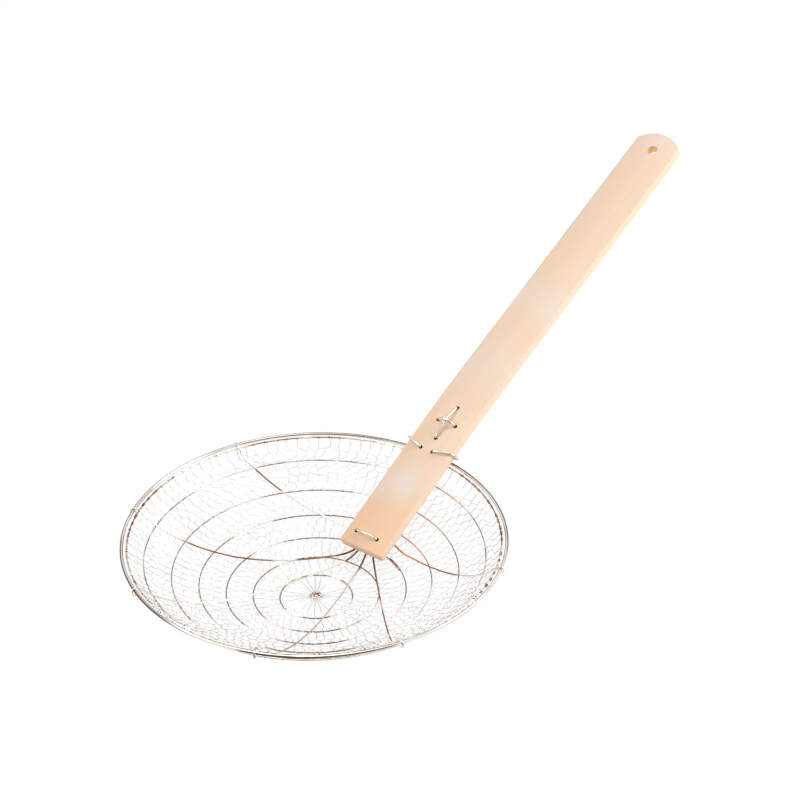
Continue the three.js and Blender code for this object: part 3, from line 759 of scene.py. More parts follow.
def bamboo_finish(bamboo, slat):
    """Planed bamboo: long fibres, painted sheen in pale bands, painted shade on the left half of the face,
    pale sides that are partly painted light, and speckled ends.
    """
    bench = new_material("planed_bamboo")
    place = bench.layer("slat_place", "Vector")
    spot = bench.add("ShaderNodeSeparateXYZ", place)
    fibres = bench.grain(place, along=14, across=1500, detail=3, roughness=0.6)
    streaks = bench.grain(place, along=5, across=260)
    clouds = bench.grain(place, along=22, across=70)
    face = bamboo_tones(bench, bamboo, slat, place, spot)
    # Painted shade on the left half of the face.
    shaded = bench.ramp(spot.outputs["Y"], *bamboo.shade_fade)
    face = bench.mix(shaded, face, bamboo.shade, "MULTIPLY")
    face = bench.mix(bench.ramp(fibres, 0.45, 0.75, to_high=0.16), face, bamboo.fibre)
    face = bench.mix(bench.ramp(streaks, 0.5, 0.8, to_high=0.10), face, bamboo.fibre)
    face = bench.mix(bench.ramp(clouds, 0.45, 0.75, to_high=0.12), face, bamboo.fibre)
    normal = bench.add("ShaderNodeNewGeometry").outputs["Normal"]
    facing = bench.add("ShaderNodeSeparateXYZ", normal)
    sideways = bench.math("ABSOLUTE", facing.outputs["Y"])
    # Pale sides: partly the sawn bamboo's own colour and partly painted light.
    face = bench.mix(bench.ramp(sideways, 0.2, 0.95), face, bamboo.side)
    line = (math.cos(slat.pitch), 0, math.sin(slat.pitch))
    endwise = bench.math("ABSOLUTE", bench.measure("DOT_PRODUCT", normal, line))
    pores = bench.ramp(bench.noise(place, scale=1800), 0.5, 0.68, to_high=0.3)
    pores = bench.math("MULTIPLY", pores, bench.ramp(endwise, 0.55, 0.85))
    face = bench.mix(pores, face, bamboo.fibre)
    rough = bench.ramp(fibres, 0.2, 0.8, to_low=0.46, to_high=0.62)
    bench.feed(bench.shader, Base_Color=face, Roughness=rough, Specular_IOR_Level=0.35)
    bench.bump(fibres, strength=0.25, distance=0.12 * MM)
    return bench.owner


def bamboo_tones(bench, bamboo, slat, place, spot):
    """The face's colour along the handle: tip, painted light round the lacing, painted sheen in pale bands
    and a patch, and far end, with wandering borders.
    """
    wander = bench.ramp(
        bench.grain(place, along=6, across=60), 0.2, 0.8,
        to_low=-bamboo.grain_wander, to_high=bamboo.grain_wander)
    reach = bench.math("ADD", spot.outputs["X"], wander)

    def band(middle, spread):
        """1 at a place along the handle, easing to 0 on both sides of it."""
        near = bench.math("ABSOLUTE", bench.math("SUBTRACT", reach, middle))
        return bench.ramp(near, 0, spread, to_low=1, to_high=0)

    past_tip = bench.ramp(reach, *[slat.tip + inset for inset in bamboo.tip_tone])
    face = bench.mix(past_tip, bamboo.tip, bamboo.face)
    near_end = bench.ramp(reach, *[slat.end - inset for inset in bamboo.end_tone])
    face = bench.mix(near_end, face, bamboo.end)
    # Painted light round the lacing, filling in the stitches' shade.
    face = bench.mix(band(*bamboo.lacing_light_band), face, bamboo.lacing_painted_light)
    # Painted sheen in a patch near the handle's middle line.
    off_middle = bench.math("ABSOLUTE", bench.math("SUBTRACT", spot.outputs["Y"], bamboo.sheen_patch_aside))
    pale = bench.ramp(off_middle, *bamboo.sheen_patch_fade, *bamboo.sheen_patch_shares)
    pale = bench.math("MULTIPLY", band(*bamboo.sheen_patch_band), pale)
    # Painted sheen in pale bands along the handle and at its far end.
    nodes = [*zip(bamboo.sheen_middles, bamboo.sheen_spreads, bamboo.sheen_shares)]
    nodes.append((slat.end, bamboo.end_sheen_spread, bamboo.end_sheen_share))
    for middle, spread, part in nodes:
        pale = bench.math("MAXIMUM", pale, bench.math("MULTIPLY", band(middle, spread), part))
    return bench.mix(pale, face, bamboo.node)


def drilled_finish(name, dark, light):
    """Rough wall of a hole through the bamboo."""
    bench = new_material(name)
    speckle = bench.ramp(bench.noise(bench.place(), scale=900, detail=3), 0.3, 0.7)
    bench.feed(bench.shader, Base_Color=bench.mix(speckle, dark, light), Roughness=0.8)
    return bench.owner


def finish_of(name):
    """A wire finish, made once and shared by all pieces that have it."""
    made = bpy.data.materials.get(name)
    if made:
        return made
    settings, dish, slat = shapes(bpy.context)
    steel = settings.steel
    if name == "bright_steel":
        return wire_finish(name, steel.bright, steel.bright_dull, steel.tarnish, steel.bright_rough)
    if name == "browned_steel":
        return ring_finish(name, steel, dish, slat)
    return wire_finish(name, steel.net, steel.net_dull, steel.tarnish, steel.net_rough)


# Operators

class SKIMMER_OT_hoops(bpy.types.Operator):
    """Bends the rim and the edge wire round the bowl's mouth"""
    bl_idname = "skimmer.hoops"
    bl_label = "Rim and Edge Wire"

    def execute(self, context):
        settings, dish, _ = shapes(context)
        bowl = settings.bowl
        self.dish = dish
        self.bowl = bowl
        rim = self.bend_hoop("rim_hoop", dish.rim_radius, dish.rim_height, bowl.rim_wire, sides=16)
        # Paints a dark reflection on the rim's upper outer side.
        store(rim, "tarnished", self.tarnish)
        finish_piece(rim, finish_of("bright_steel"), "bright_wire", "rim_wire")
        edge = self.bend_hoop("edge_hoop", dish.hoop_radius, dish.hoop_height, bowl.edge_drawn, sides=10)
        store(edge, "browned_more", clean_front(dish, bowl.edge_browned, bowl.front_browned))
        finish_piece(edge, finish_of("browned_steel"), "bright_wire", "net_edge_wire")
        return {"FINISHED"}

    def bend_hoop(self, name, radius, height, wire, sides):
        """A closed round hoop about the bowl's axis."""
        path = [self.dish.at(radius, math.tau * i / HOOP_POINTS, height) for i in range(HOOP_POINTS)]
        return draw_wire(name, [path], wire, sides, closed=True)

    def tarnish(self, spot):
        """How much painted dark reflection the rim gets: a dark strip on its upper outer side that stands for
        reflected dark surroundings, but not at the bowl's front.
        """
        bowl = self.bowl
        x = spot.x - self.dish.axis
        turn = math.atan2(spot.y, x)
        outer = 2 * (math.hypot(x, spot.y) - self.dish.rim_radius) / bowl.rim_wire
        upper = 2 * (spot.z - self.dish.rim_height) / bowl.rim_wire
        if upper <= bowl.dark_reflection_low:
            return 0
        wider = bowl.dark_reflection_wider * max(math.cos(turn - bowl.dark_reflection_turn), 0) ** 2
        strip = part_way(outer + wider, *bowl.dark_reflection_strip)
        return strip * part_way(math.cos(turn - bowl.front_turn), *bowl.dark_reflection_ends)


class SKIMMER_OT_rings(bpy.types.Operator):
    """Bends the rings under the net, one of them with lapped ends"""
    bl_idname = "skimmer.rings"
    bl_label = "Rings"

    def execute(self, context):
        settings, dish, _ = shapes(context)
        bowl = settings.bowl
        names = sorted(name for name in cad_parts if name.startswith("support_ring"))
        for number, node in enumerate(names, 1):
            low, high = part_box(node)
            radius = (high.x - low.x - bowl.ring_wire) / 2
            height = max((low.z + high.z) / 2, low.z + bowl.ring_wire / 2)
            lapped = number == bowl.lapped_ring
            overlap = bowl.lap / radius if lapped else 0
            path = []
            for i in range(RING_POINTS + 1 if lapped else RING_POINTS):
                part = i / RING_POINTS
                turn = bowl.lap_angle - overlap / 2 + (math.tau + overlap) * part
                wave = bowl.waviness * math.sin(2 * turn + number) * math.sin(3 * turn + 2 * number)
                aside = bowl.ring_wire * (part - 0.5) if lapped else 0
                path.append(dish.at(radius + wave + aside, turn, height))
            piece = draw_wire(f"ring_hoop_{number}", [path], bowl.ring_drawn, sides=8, closed=not lapped)
            brown = bowl.rings_browned[number - 1]
            front = bowl.front_browned if number == len(names) else brown
            store(piece, "browned_more", clean_front(dish, brown, front))
            finish_piece(piece, finish_of("browned_steel"), "ring_wire", node)
        return {"FINISHED"}


class SKIMMER_OT_net(bpy.types.Operator):
    """Twists the net from its knot out to the edge wire, strand by strand"""
    bl_idname = "skimmer.net"
    bl_label = "Net"

    def execute(self, context):
        settings, dish, _ = shapes(context)
        net = settings.net
        self.net = net
        self.dish = dish
        self.chance = random.Random(net.seed)
        self.strands = []
        rows = self.row_plan()
        twists = self.first_row(*rows[0])
        for radius, count in rows[1:]:
            twists = self.next_row(twists, radius, count)
        windings = self.wind_ends(twists, settings.bowl.edge_drawn)
        windings.append(self.knot())
        wound = draw_wire("net_windings", windings, net.winding, sides=6)
        # Painted shade on one stretch of the windings.
        store(wound, "browned_more", self.winding_shade)
        wound.data.materials.append(finish_of("browned_steel"))
        piece = draw_wire("net_strands", self.strands, net.wire, sides=4)
        piece.data.materials.append(finish_of("net_steel"))
        wound.select_set(True)
        bpy.ops.object.join()
        finish_piece(piece, None, "net_wire", "wire_net")
        return {"FINISHED"}

    def winding_shade(self, spot):
        """Painted shade on the windings: darker on one stretch, where the edge wire's inner face is in shade,
        and cleaner elsewhere.
        """
        there, elsewhere = self.net.winding_shades
        turn = math.atan2(spot.y, spot.x - self.dish.axis) - self.net.winding_shade_turn
        return there if abs(turn) < self.net.winding_shade_spread else elsewhere

    def row_plan(self):
        """Radius and number of twists of each row."""
        net = self.net
        rows = []
        radius = net.first_row
        while radius < self.dish.edge_radius - net.last_gap:
            width = net.cell_width + net.cell_growth * radius
            rows.append((radius, round(math.tau * radius / width)))
            radius += net.row_pitch * self.dish.slope(radius + net.row_pitch / 2)[0]
        return rows

    def start_strand(self, points):
        """A new strand that starts with the points given."""
        self.strands.append(list(points))
        return self.strands[-1]

    def first_row(self, radius, count):
        """Double spokes from the knot to the first twists."""
        net = self.net
        twists = []
        for i in range(count):
            turn = math.tau * i / count
            pair = []
            for side in (-1, 1):
                inner = turn + side * net.spoke_base * math.tau / count
                outer = turn + side * net.spoke_top * net.wire / radius
                lift = self.chance.uniform(-net.spoke_lift, net.spoke_lift) * net.wire
                pair.append(self.start_strand([
                    self.dish.on(net.hub_radius, inner, lift),
                    self.dish.on(net.spoke_middle * radius, (inner + 2 * outer) / 3, -lift),
                ]))
            twists.append((turn, *pair))
        return self.twist_row(twists, radius)

    def next_row(self, twists, radius, count):
        """Twists each strand with its other neighbour, and hooks in new strands as the row widens."""
        extra = max(count - len(twists), 0)
        phase = self.chance.random()
        hooked = {int((j + phase) * len(twists) / extra) for j in range(extra)}
        row = []
        for i, (turn, _, right) in enumerate(twists):
            if i in hooked:
                start = right[-1]
                row.append((turn, self.start_strand([start]), self.start_strand([start])))
            ahead, left, _ = twists[(i + 1) % len(twists)]
            gap = (ahead - turn) % math.tau
            row.append((turn + gap / 2, right, left))
        step = math.tau / len(row)
        drift = [(turn - i * step + math.pi) % math.tau - math.pi for i, (turn, _, _) in enumerate(row)]
        lean = math.atan2(sum(map(math.sin, drift)), sum(map(math.cos, drift)))
        return self.twist_row([(lean + i * step, *twist[1:]) for i, twist in enumerate(row)], radius)

    def twist_row(self, twists, radius):
        """Winds each pair of strands once round each other at its place in the row."""
        net = self.net
        cell = math.tau / len(twists)
        placed = []
        for turn, left, right in twists:
            turn += self.chance.gauss(0, net.stray) * cell
            middle = radius + self.chance.gauss(0, net.stray) * net.row_pitch
            lift = self.chance.gauss(0, net.twist_lift) * net.wire
            for strand, start in ((left, math.pi), (right, 0)):
                for i in range(TWIST_STEPS + 1):
                    part = i / TWIST_STEPS
                    wound = start + math.tau * part
                    at = middle + net.twist * (part - 0.5) * self.dish.slope(middle)[0]
                    aside = net.wire / 2 * math.cos(wound) / at
                    raised = lift + net.wire / 2 * math.sin(wound)
                    strand.append(self.dish.on(at, turn + aside, raised))
            placed.append((turn, left, right))
        return placed

    def wind_ends(self, twists, edge_wire):
        """Brings each strand to the edge wire and winds its end round it."""
        net = self.net
        dish = self.dish
        hoop = (dish.hoop_radius, dish.hoop_height)
        advance = net.winding_pitch * net.winding / dish.hoop_radius
        cell = math.tau / len(twists)
        windings = []
        for turn, left, right in twists:
            for strand, side in ((left, -1), (right, 1)):
                reach = (edge_wire + net.winding) / 2 * self.chance.uniform(1, net.winding_slack)
                begin = turn + side * cell * self.chance.uniform(0, net.winding_stray)
                loops = self.chance.uniform(*net.winding_turns)
                strand += dish.round_wire(begin, *hoop, reach, [WINDING_START])
                winding = []
                for i in range(round(WINDING_STEPS * loops) + 1):
                    part = i / WINDING_STEPS
                    wound = begin + side * advance * part
                    winding += dish.round_wire(wound, *hoop, reach, [FULL_TURN * part + WINDING_START])
                windings.append(winding)
        return windings

    def knot(self):
        """The scribble of wire that binds the spokes at the bowl's middle."""
        net = self.net
        points = []
        for i in range(net.knot_points):
            stray = self.chance.uniform(-net.knot_stray, net.knot_stray)
            radius = net.hub_radius * self.chance.uniform(*net.knot_reach)
            lift = net.winding * self.chance.uniform(*net.knot_lift)
            points.append(self.dish.on(radius, math.tau * i / net.knot_sides + stray, lift))
        return points


class SKIMMER_OT_ribs(bpy.types.Operator):
    """Runs the ribs from under the handle, over the net and round the rim"""
    bl_idname = "skimmer.ribs"
    bl_label = "Ribs"

    def execute(self, context):
        settings, dish, slat = shapes(context)
        self.settings = settings
        self.dish = dish
        self.slat = slat
        for side_name, side in SIDES:
            for number, name in enumerate(RIB_NAMES):
                path = self.rib_path(side_name, side, number)
                piece = draw_wire(
                    f"rib_rod_{side_name}_{name}", [path], settings.ribs.drawn, sides=10, steps=4,
                    swell=self.swell)
                self.wear(piece, side_name, number)
                finish_piece(piece, finish_of("browned_steel"), "ring_wire", f"rib_{side_name}_{name}")
        return {"FINISHED"}

    def own(self, kind, side_name, number):
        """What the settings say of one rib on one side."""
        return getattr(self.settings.ribs, f"{side_name}_{kind}")[number]

    def wear(self, piece, side_name, number):
        """Stores how far one rib has browned or greyed."""
        ribs = self.settings.ribs
        brown = self.own("browned", side_name, number)
        rib = (side_name, RIB_NAMES[number])
        store(piece, "browned_least", lambda spot: max(brown, 0))
        if rib == ("left", "rear"):
            store(piece, "browned_more", self.one_stretch)
        else:
            store(piece, "browned_more", lambda spot: min(brown, 0) - self.fresh(spot))
        if rib == ("right", "front"):
            store(piece, "greyed", lambda spot: ribs.front_greyed)

    def swell(self, spot):
        """How much thicker a rib is by the handle's tip."""
        ribs = self.settings.ribs
        away = (spot - self.slat.point(self.slat.tip, 0, 0)).length
        return 1 + ribs.swell * part_way(away, *ribs.swell_fade)

    def reach(self, spot):
        """Distance from the bowl's axis, in rim radii."""
        return math.hypot(spot.x - self.dish.axis, spot.y) / self.dish.rim_radius

    def fresh(self, spot):
        """How much cleaner a rib is toward the rim."""
        ribs = self.settings.ribs
        return ribs.fresh * part_way(self.reach(spot), *ribs.fresh_fade)

    def one_stretch(self, spot):
        """How much more a rib has browned that is clean but for one stretch."""
        start, end = self.settings.ribs.stretch
        there, elsewhere = self.settings.ribs.stretch_browned
        return there if start < self.reach(spot) < end else elsewhere

    def across(self, place):
        """How far from the handle's middle a tail lies under it, as the first, second or third out."""
        ribs = self.settings.ribs
        touch = self.settings.bowl.touch
        return self.settings.lacing.wire / 2 + touch + ribs.wire / 2 + place * (ribs.wire + touch)

    def tail(self, side, number):
        """A tail's points under the handle, closed up where it passes the lacing, and its own line there."""
        ribs = self.settings.ribs
        lacing = self.settings.lacing
        handle = self.settings.handle
        lacing_end = lacing.cross_from + lacing.cross_length
        ends = (
            lacing_end + ribs.rear_overrun,
            lacing_end + ribs.side_overrun,
            self.slat.tip + ribs.insets[-1] + ribs.front_tail,
        )
        end = ends[number]
        depth = -(self.settings.bowl.touch + ribs.wire / 2)
        place = len(RIB_NAMES) - 1 - number
        wide = side * self.across(place)
        if end <= -ribs.close_to:
            return [self.slat.point(end, wide, depth)], wide, depth
        narrow = side * self.across(place - 1)
        stops = (end, handle.bend_start + handle.bend_length / 2, handle.bend_start, -ribs.close_to)
        points = [self.slat.point(along, narrow, depth) for along in stops]
        points.append(self.slat.point(-ribs.close_from, wide, depth))
        return points, wide, depth

    def rib_path(self, side_name, side, number):
        """A tail under the handle, a run across the net and a hook round the rim."""
        ribs = self.settings.ribs
        bowl = self.settings.bowl
        dish = self.dish
        points, wide, depth = self.tail(side, number)
        turn = ribs.turns[number] + self.own("stray", side_name, number)
        bow = self.own("bow", side_name, number)
        leave_along = self.slat.tip + ribs.insets[number] - self.own("slip", side_name, number)
        leave = self.slat.point(leave_along, wide, depth)
        leave_x = leave.x - dish.axis
        lift = bowl.net_thickness / 2 + bowl.touch + ribs.wire / 2
        turn_radius = dish.hoop_radius - ribs.turn_inset
        run_x = turn_radius * math.cos(turn) - leave_x
        run_y = turn_radius * math.sin(side * turn) - leave.y
        run = math.hypot(run_x, run_y)
        steep = math.tan(math.atan(-run_x / run * math.tan(self.slat.pitch)) + ribs.dives[number])
        reach = 0
        for _ in range(LANDING_TRIES):
            landing = dish.above(leave_x + run_x / run * reach, leave.y + run_y / run * reach, lift)
            reach = (leave.z - landing.z) / steep
        points += round_corner(points[-1], leave, landing, ribs.corner)
        count = round((run - reach) / ribs.step)
        for i in range(count + 1):
            gone = (reach + (run - reach) * i / count) / run
            bowed = side * bow * math.sin(math.pi * i / count) / run
            x = leave_x + run_x * gone - run_y * bowed
            y = leave.y + run_y * gone + run_x * bowed
            points.append(dish.above(x, y, lift))
        return points + self.hook(side * turn)

    def hook(self, turn):
        """Over the edge wire, round the rim and up again between the two, beside itself."""
        bowl = self.settings.bowl
        ribs = self.settings.ribs
        dish = self.dish
        over_edge = bowl.edge_wire / 2 + 2 * bowl.touch + ribs.drawn / 2
        over_rim = bowl.rim_wire / 2 + bowl.touch / 2 + ribs.drawn / 2
        aside = ribs.hook_beside * ribs.drawn / dish.rim_radius
        points = dish.round_wire(turn, dish.hoop_radius, dish.hoop_height, over_edge, OVER_EDGE)
        for i, bearing in enumerate(ROUND_RIM):
            beside = turn + aside * i / (len(ROUND_RIM) - 1)
            hang = ribs.hook_slack * max(-math.sin(math.radians(bearing)), 0)
            points += dish.round_wire(beside, dish.rim_radius, dish.rim_height, over_rim + hang, [bearing])
        return points


class SKIMMER_OT_handle(bpy.types.Operator):
    """Planes, drills and bends the bamboo handle"""
    bl_idname = "skimmer.handle"
    bl_label = "Bamboo Handle"

    def execute(self, context):
        settings, dish, slat = shapes(context)
        self.settings = settings
        self.slat = slat
        bpy.ops.object.select_all(action="DESELECT")
        along, across = SLAT_CELLS
        bpy.ops.mesh.primitive_grid_add(
            x_subdivisions=along, y_subdivisions=across, size=2, location=(0, 0, 0))
        piece = context.object
        piece.name = "bamboo_slat"
        piece.data.name = "bamboo_slat"
        eased = self.shape_face(piece)
        self.thicken(piece, eased)
        piece.data.materials.append(bamboo_finish(settings.bamboo, slat))
        self.drill(piece, self.holes(dish))
        self.put_in_place(piece)
        bpy.ops.object.shade_smooth_by_angle(angle=SHARP_ANGLE)
        finish_piece(piece, None, "bamboo", "bamboo_handle")
        return {"FINISHED"}

    def shape_face(self, piece):
        """Moves the flat grid to the handle's outline, with a crowned face that rounds down at its edges."""
        handle = self.settings.handle
        half = handle.width / 2
        bulge_radius = (half ** 2 + handle.end_bulge ** 2) / (2 * handle.end_bulge)
        eased = []

        def corner_cut(across, radius):
            """How far a rounded corner takes the outline in."""
            past = max(abs(across) - (half - radius), 0)
            return radius - math.sqrt(max(radius ** 2 - past ** 2, 0))

        for vertex in piece.data.vertices:
            part = math.sin(vertex.co.y * math.pi / 2)
            crowded = SLAT_CROWDING * math.sin(math.pi * vertex.co.x) / math.pi
            far = (1 + vertex.co.x + crowded) / 2
            across = half * part
            start = self.slat.tip + corner_cut(across, handle.tip_corner)
            bulge = bulge_radius - math.sqrt(bulge_radius ** 2 - across ** 2)
            end = self.slat.end - bulge - corner_cut(across, handle.end_corner)
            along = start + (end - start) * far
            taper = (handle.tip_width + (handle.width - handle.tip_width) * far) / 2
            from_side = taper * (1 - abs(part))
            from_end = min(along - start, end - along)
            top = handle.thickness - handle.crown * part ** 2 - self.ease(handle.edge, from_side, from_end)
            eased.append(self.ease(handle.under_edge, from_side, from_end))
            vertex.co = (along, handle.aside + taper * part, top)
        return eased

    def ease(self, radius, from_side, from_end):
        """How far a rounded edge falls away from the face, near the side and near the end."""
        past = math.hypot(max(1 - from_side / radius, 0), max(1 - from_end / radius, 0))
        return radius * (1 - math.sqrt(max(1 - past ** 2, 0)))

    def thicken(self, piece, eased):
        """Extrudes the face down to an underside with rounded edges."""
        depth = self.settings.handle.thickness
        count = len(eased)
        bpy.ops.object.mode_set(mode="EDIT")
        bpy.ops.mesh.select_all(action="SELECT")
        bpy.ops.mesh.extrude_region_move(TRANSFORM_OT_translate={"value": (0, 0, -depth)})
        bpy.ops.object.mode_set(mode="OBJECT")
        places = {}
        for vertex, lift in zip(piece.data.vertices[:count], eased):
            places[vertex.co.to_tuple(PLACE_DIGITS)[:2]] = lift
        for vertex in piece.data.vertices[count:]:
            vertex.co.z = places[vertex.co.to_tuple(PLACE_DIGITS)[:2]]
        bpy.ops.object.mode_set(mode="EDIT")
        bpy.ops.mesh.select_all(action="SELECT")
        bpy.ops.mesh.remove_doubles(threshold=MERGE_WITHIN)
        bpy.ops.mesh.normals_make_consistent(inside=False)
        bpy.ops.object.mode_set(mode="OBJECT")

    def holes(self, dish):
        """Where each hole is, along the handle and across it, and its diameter: first the hanging hole."""
        handle = self.settings.handle
        lacing = self.settings.lacing
        stitch = lacing.wire + 2 * lacing.play
        cross_to = lacing.cross_from + lacing.cross_length
        cross_middle = (lacing.cross_from + cross_to) / 2
        cross_half = lacing.cross_span / 2 + lacing.pull
        tip_half = lacing.tip_span / 2 + lacing.pull
        tie_along, tie_across = tie_place(self.settings, dish, self.slat)
        holes = [
            (self.slat.end - handle.hang_inset, handle.aside, handle.hang_hole),
            (lacing.cross_from - lacing.pull, handle.aside, stitch),
            (cross_to + lacing.pull, handle.aside, stitch),
        ]
        for _, side in SIDES:
            holes.append((self.slat.tip + lacing.tip_inset, side * tip_half, stitch))
            holes.append((cross_middle, handle.aside + side * cross_half, stitch))
            holes.append((tie_along, side * (tie_across - lacing.pull), stitch))
        return holes

    def drill(self, piece, holes):
        """Bores the hanging hole and the lacing holes, whose near-black walls are painted shade in the narrow
        holes.
        """
        bamboo = self.settings.bamboo
        depth = 3 * self.settings.handle.thickness
        # The lacing holes' walls are painted near black as their shade.
        shaded_hole_wall = drilled_finish("drilled_bamboo", bamboo.drilled, bamboo.fibre)
        bored = drilled_finish("bored_bamboo", bamboo.bored, bamboo.tip)
        bpy.ops.object.select_all(action="DESELECT")
        bits = []
        for along, across, diameter in holes:
            bpy.ops.mesh.primitive_cylinder_add(
                vertices=DRILL_SIDES, radius=diameter / 2, depth=depth, location=(along, across, 0))
            bits.append(bpy.context.object)
            bits[-1].data.materials.append(shaded_hole_wall if len(bits) > 1 else bored)
        for bit in bits:
            bit.select_set(True)
        bpy.ops.object.join()
        bits = bpy.context.object
        bpy.ops.object.select_all(action="DESELECT")
        bpy.context.view_layer.objects.active = piece
        piece.select_set(True)
        bore = piece.modifiers.new("bore", "BOOLEAN")
        bore.object = bits
        bore.operation = "DIFFERENCE"
        bore.solver = "EXACT"
        bore.material_mode = "TRANSFER"
        bpy.ops.object.modifier_apply(modifier=bore.name)
        bpy.data.objects.remove(bits)

    def put_in_place(self, piece):
        """Keeps each point's place on the straight slat for the grain, then bends the slat into the frame."""
        grain = piece.data.attributes.new("slat_place", "FLOAT_VECTOR", "POINT")
        for vertex, place in zip(piece.data.vertices, grain.data):
            place.vector = vertex.co
            vertex.co = self.slat.point(*vertex.co)


class SKIMMER_OT_lacing(bpy.types.Operator):
    """Laces the ribs and the rim to the handle with wire"""
    bl_idname = "skimmer.lacing"
    bl_label = "Lacing"

    def execute(self, context):
        settings, dish, slat = shapes(context)
        self.settings = settings
        self.slat = slat
        lacing = settings.lacing
        touch = settings.bowl.touch
        over = settings.handle.thickness + lacing.wire / 2
        under_tails = -(slat.tail_room + lacing.wire / 2)
        under_face = -(touch + lacing.wire / 2)
        gap = lacing.clinch_gap
        self.straddle("tip_stitch", slat.tip + lacing.tip_inset, lacing.tip_span / 2, over, lacing.tip_bow,
                      under_tails)
        start = lacing.cross_from
        end = start + lacing.cross_length
        middle = (start + end) / 2
        aside = settings.handle.aside
        self.stitch(
            "cross_stitch_long",
            [(middle - gap, 0, under_face), (start, 0, under_face), (start, aside, over)],
            [(end, aside, over), (end, 0, under_face), (middle + gap, 0, under_face)],
            lacing.bow,
        )
        short_bow = lacing.bow + lacing.over_long * lacing.wire
        self.straddle("cross_stitch_short", middle, lacing.cross_span / 2, over, short_bow, under_tails,
                      aside)
        self.rim_ties(dish, over)
        return {"FINISHED"}

    def stitch(self, node, first, second, bow):
        """Draws a stitch: up through the first hole, over in a bow and down at the second place."""
        wire = self.settings.lacing.wire
        bend = self.settings.lacing.corner * wire
        span = Vector(second[0]) - Vector(first[-1])
        top = []
        for i in range(1, BOW_STEPS):
            part = i / BOW_STEPS
            place = Vector(first[-1]) + part * span
            place.z += 4 * bow * part * (1 - part)
            top.append(self.slat.point(*place))
        first = [self.slat.point(*corner) for corner in first]
        second = [self.slat.point(*corner) for corner in second]
        rise = rounded(first + top[:1], bend)[:-1]
        fall = rounded(top[-1:] + second, bend)[1:]
        piece = draw_wire(f"{node}_wire", [rise + top + fall], wire, sides=12, steps=4)
        finish_piece(piece, finish_of("bright_steel"), "bright_wire", node)

    def straddle(self, node, along, half, over, bow, under, aside=0.0):
        """A stitch across the handle, clinched under the tails."""
        gap = self.settings.lacing.clinch_gap / 2
        self.stitch(
            node,
            [(along, gap, under), (along, half, under), (along, aside + half, over)],
            [(along, aside - half, over), (along, -half, under), (along, -gap, under)],
            bow,
        )

    def rim_ties(self, dish, over):
        """Ties that come up beside the tails, go over the handle's edge and back under the rim."""
        settings = self.settings
        lacing = settings.lacing
        bowl = settings.bowl
        handle = settings.handle
        along, across = tie_place(settings, dish, self.slat)
        under = -(self.slat.seat + bowl.rim_wire / 2 + bowl.touch + lacing.wire / 2)
        past = bowl.rim_wire / 2 + lacing.wire
        gap = lacing.clinch_gap
        edge = along + lacing.tie_slant
        for name, side in SIDES:
            slack = lacing.left_slack if side > 0 else 0
            stand_off = bowl.touch + lacing.wire / 2 + slack
            outside = handle.aside + side * (handle.tip_width / 2 + stand_off)
            shoulder = outside - side * lacing.shoulder * lacing.wire
            self.stitch(
                f"rim_tie_{name}",
                [
                    (past / 2, side * (across + gap / 2), under),
                    (along, side * across, under),
                    (along, side * across, over),
                ],
                [
                    (edge, shoulder, over - lacing.tie_drop * handle.crown),
                    (edge + lacing.tie_lean * past, outside, lacing.tie_side * handle.thickness),
                    (edge + past, outside, under / 2),
                    (past, side * (across + 2 * gap), under),
                ],
                lacing.tie_bow,
            )


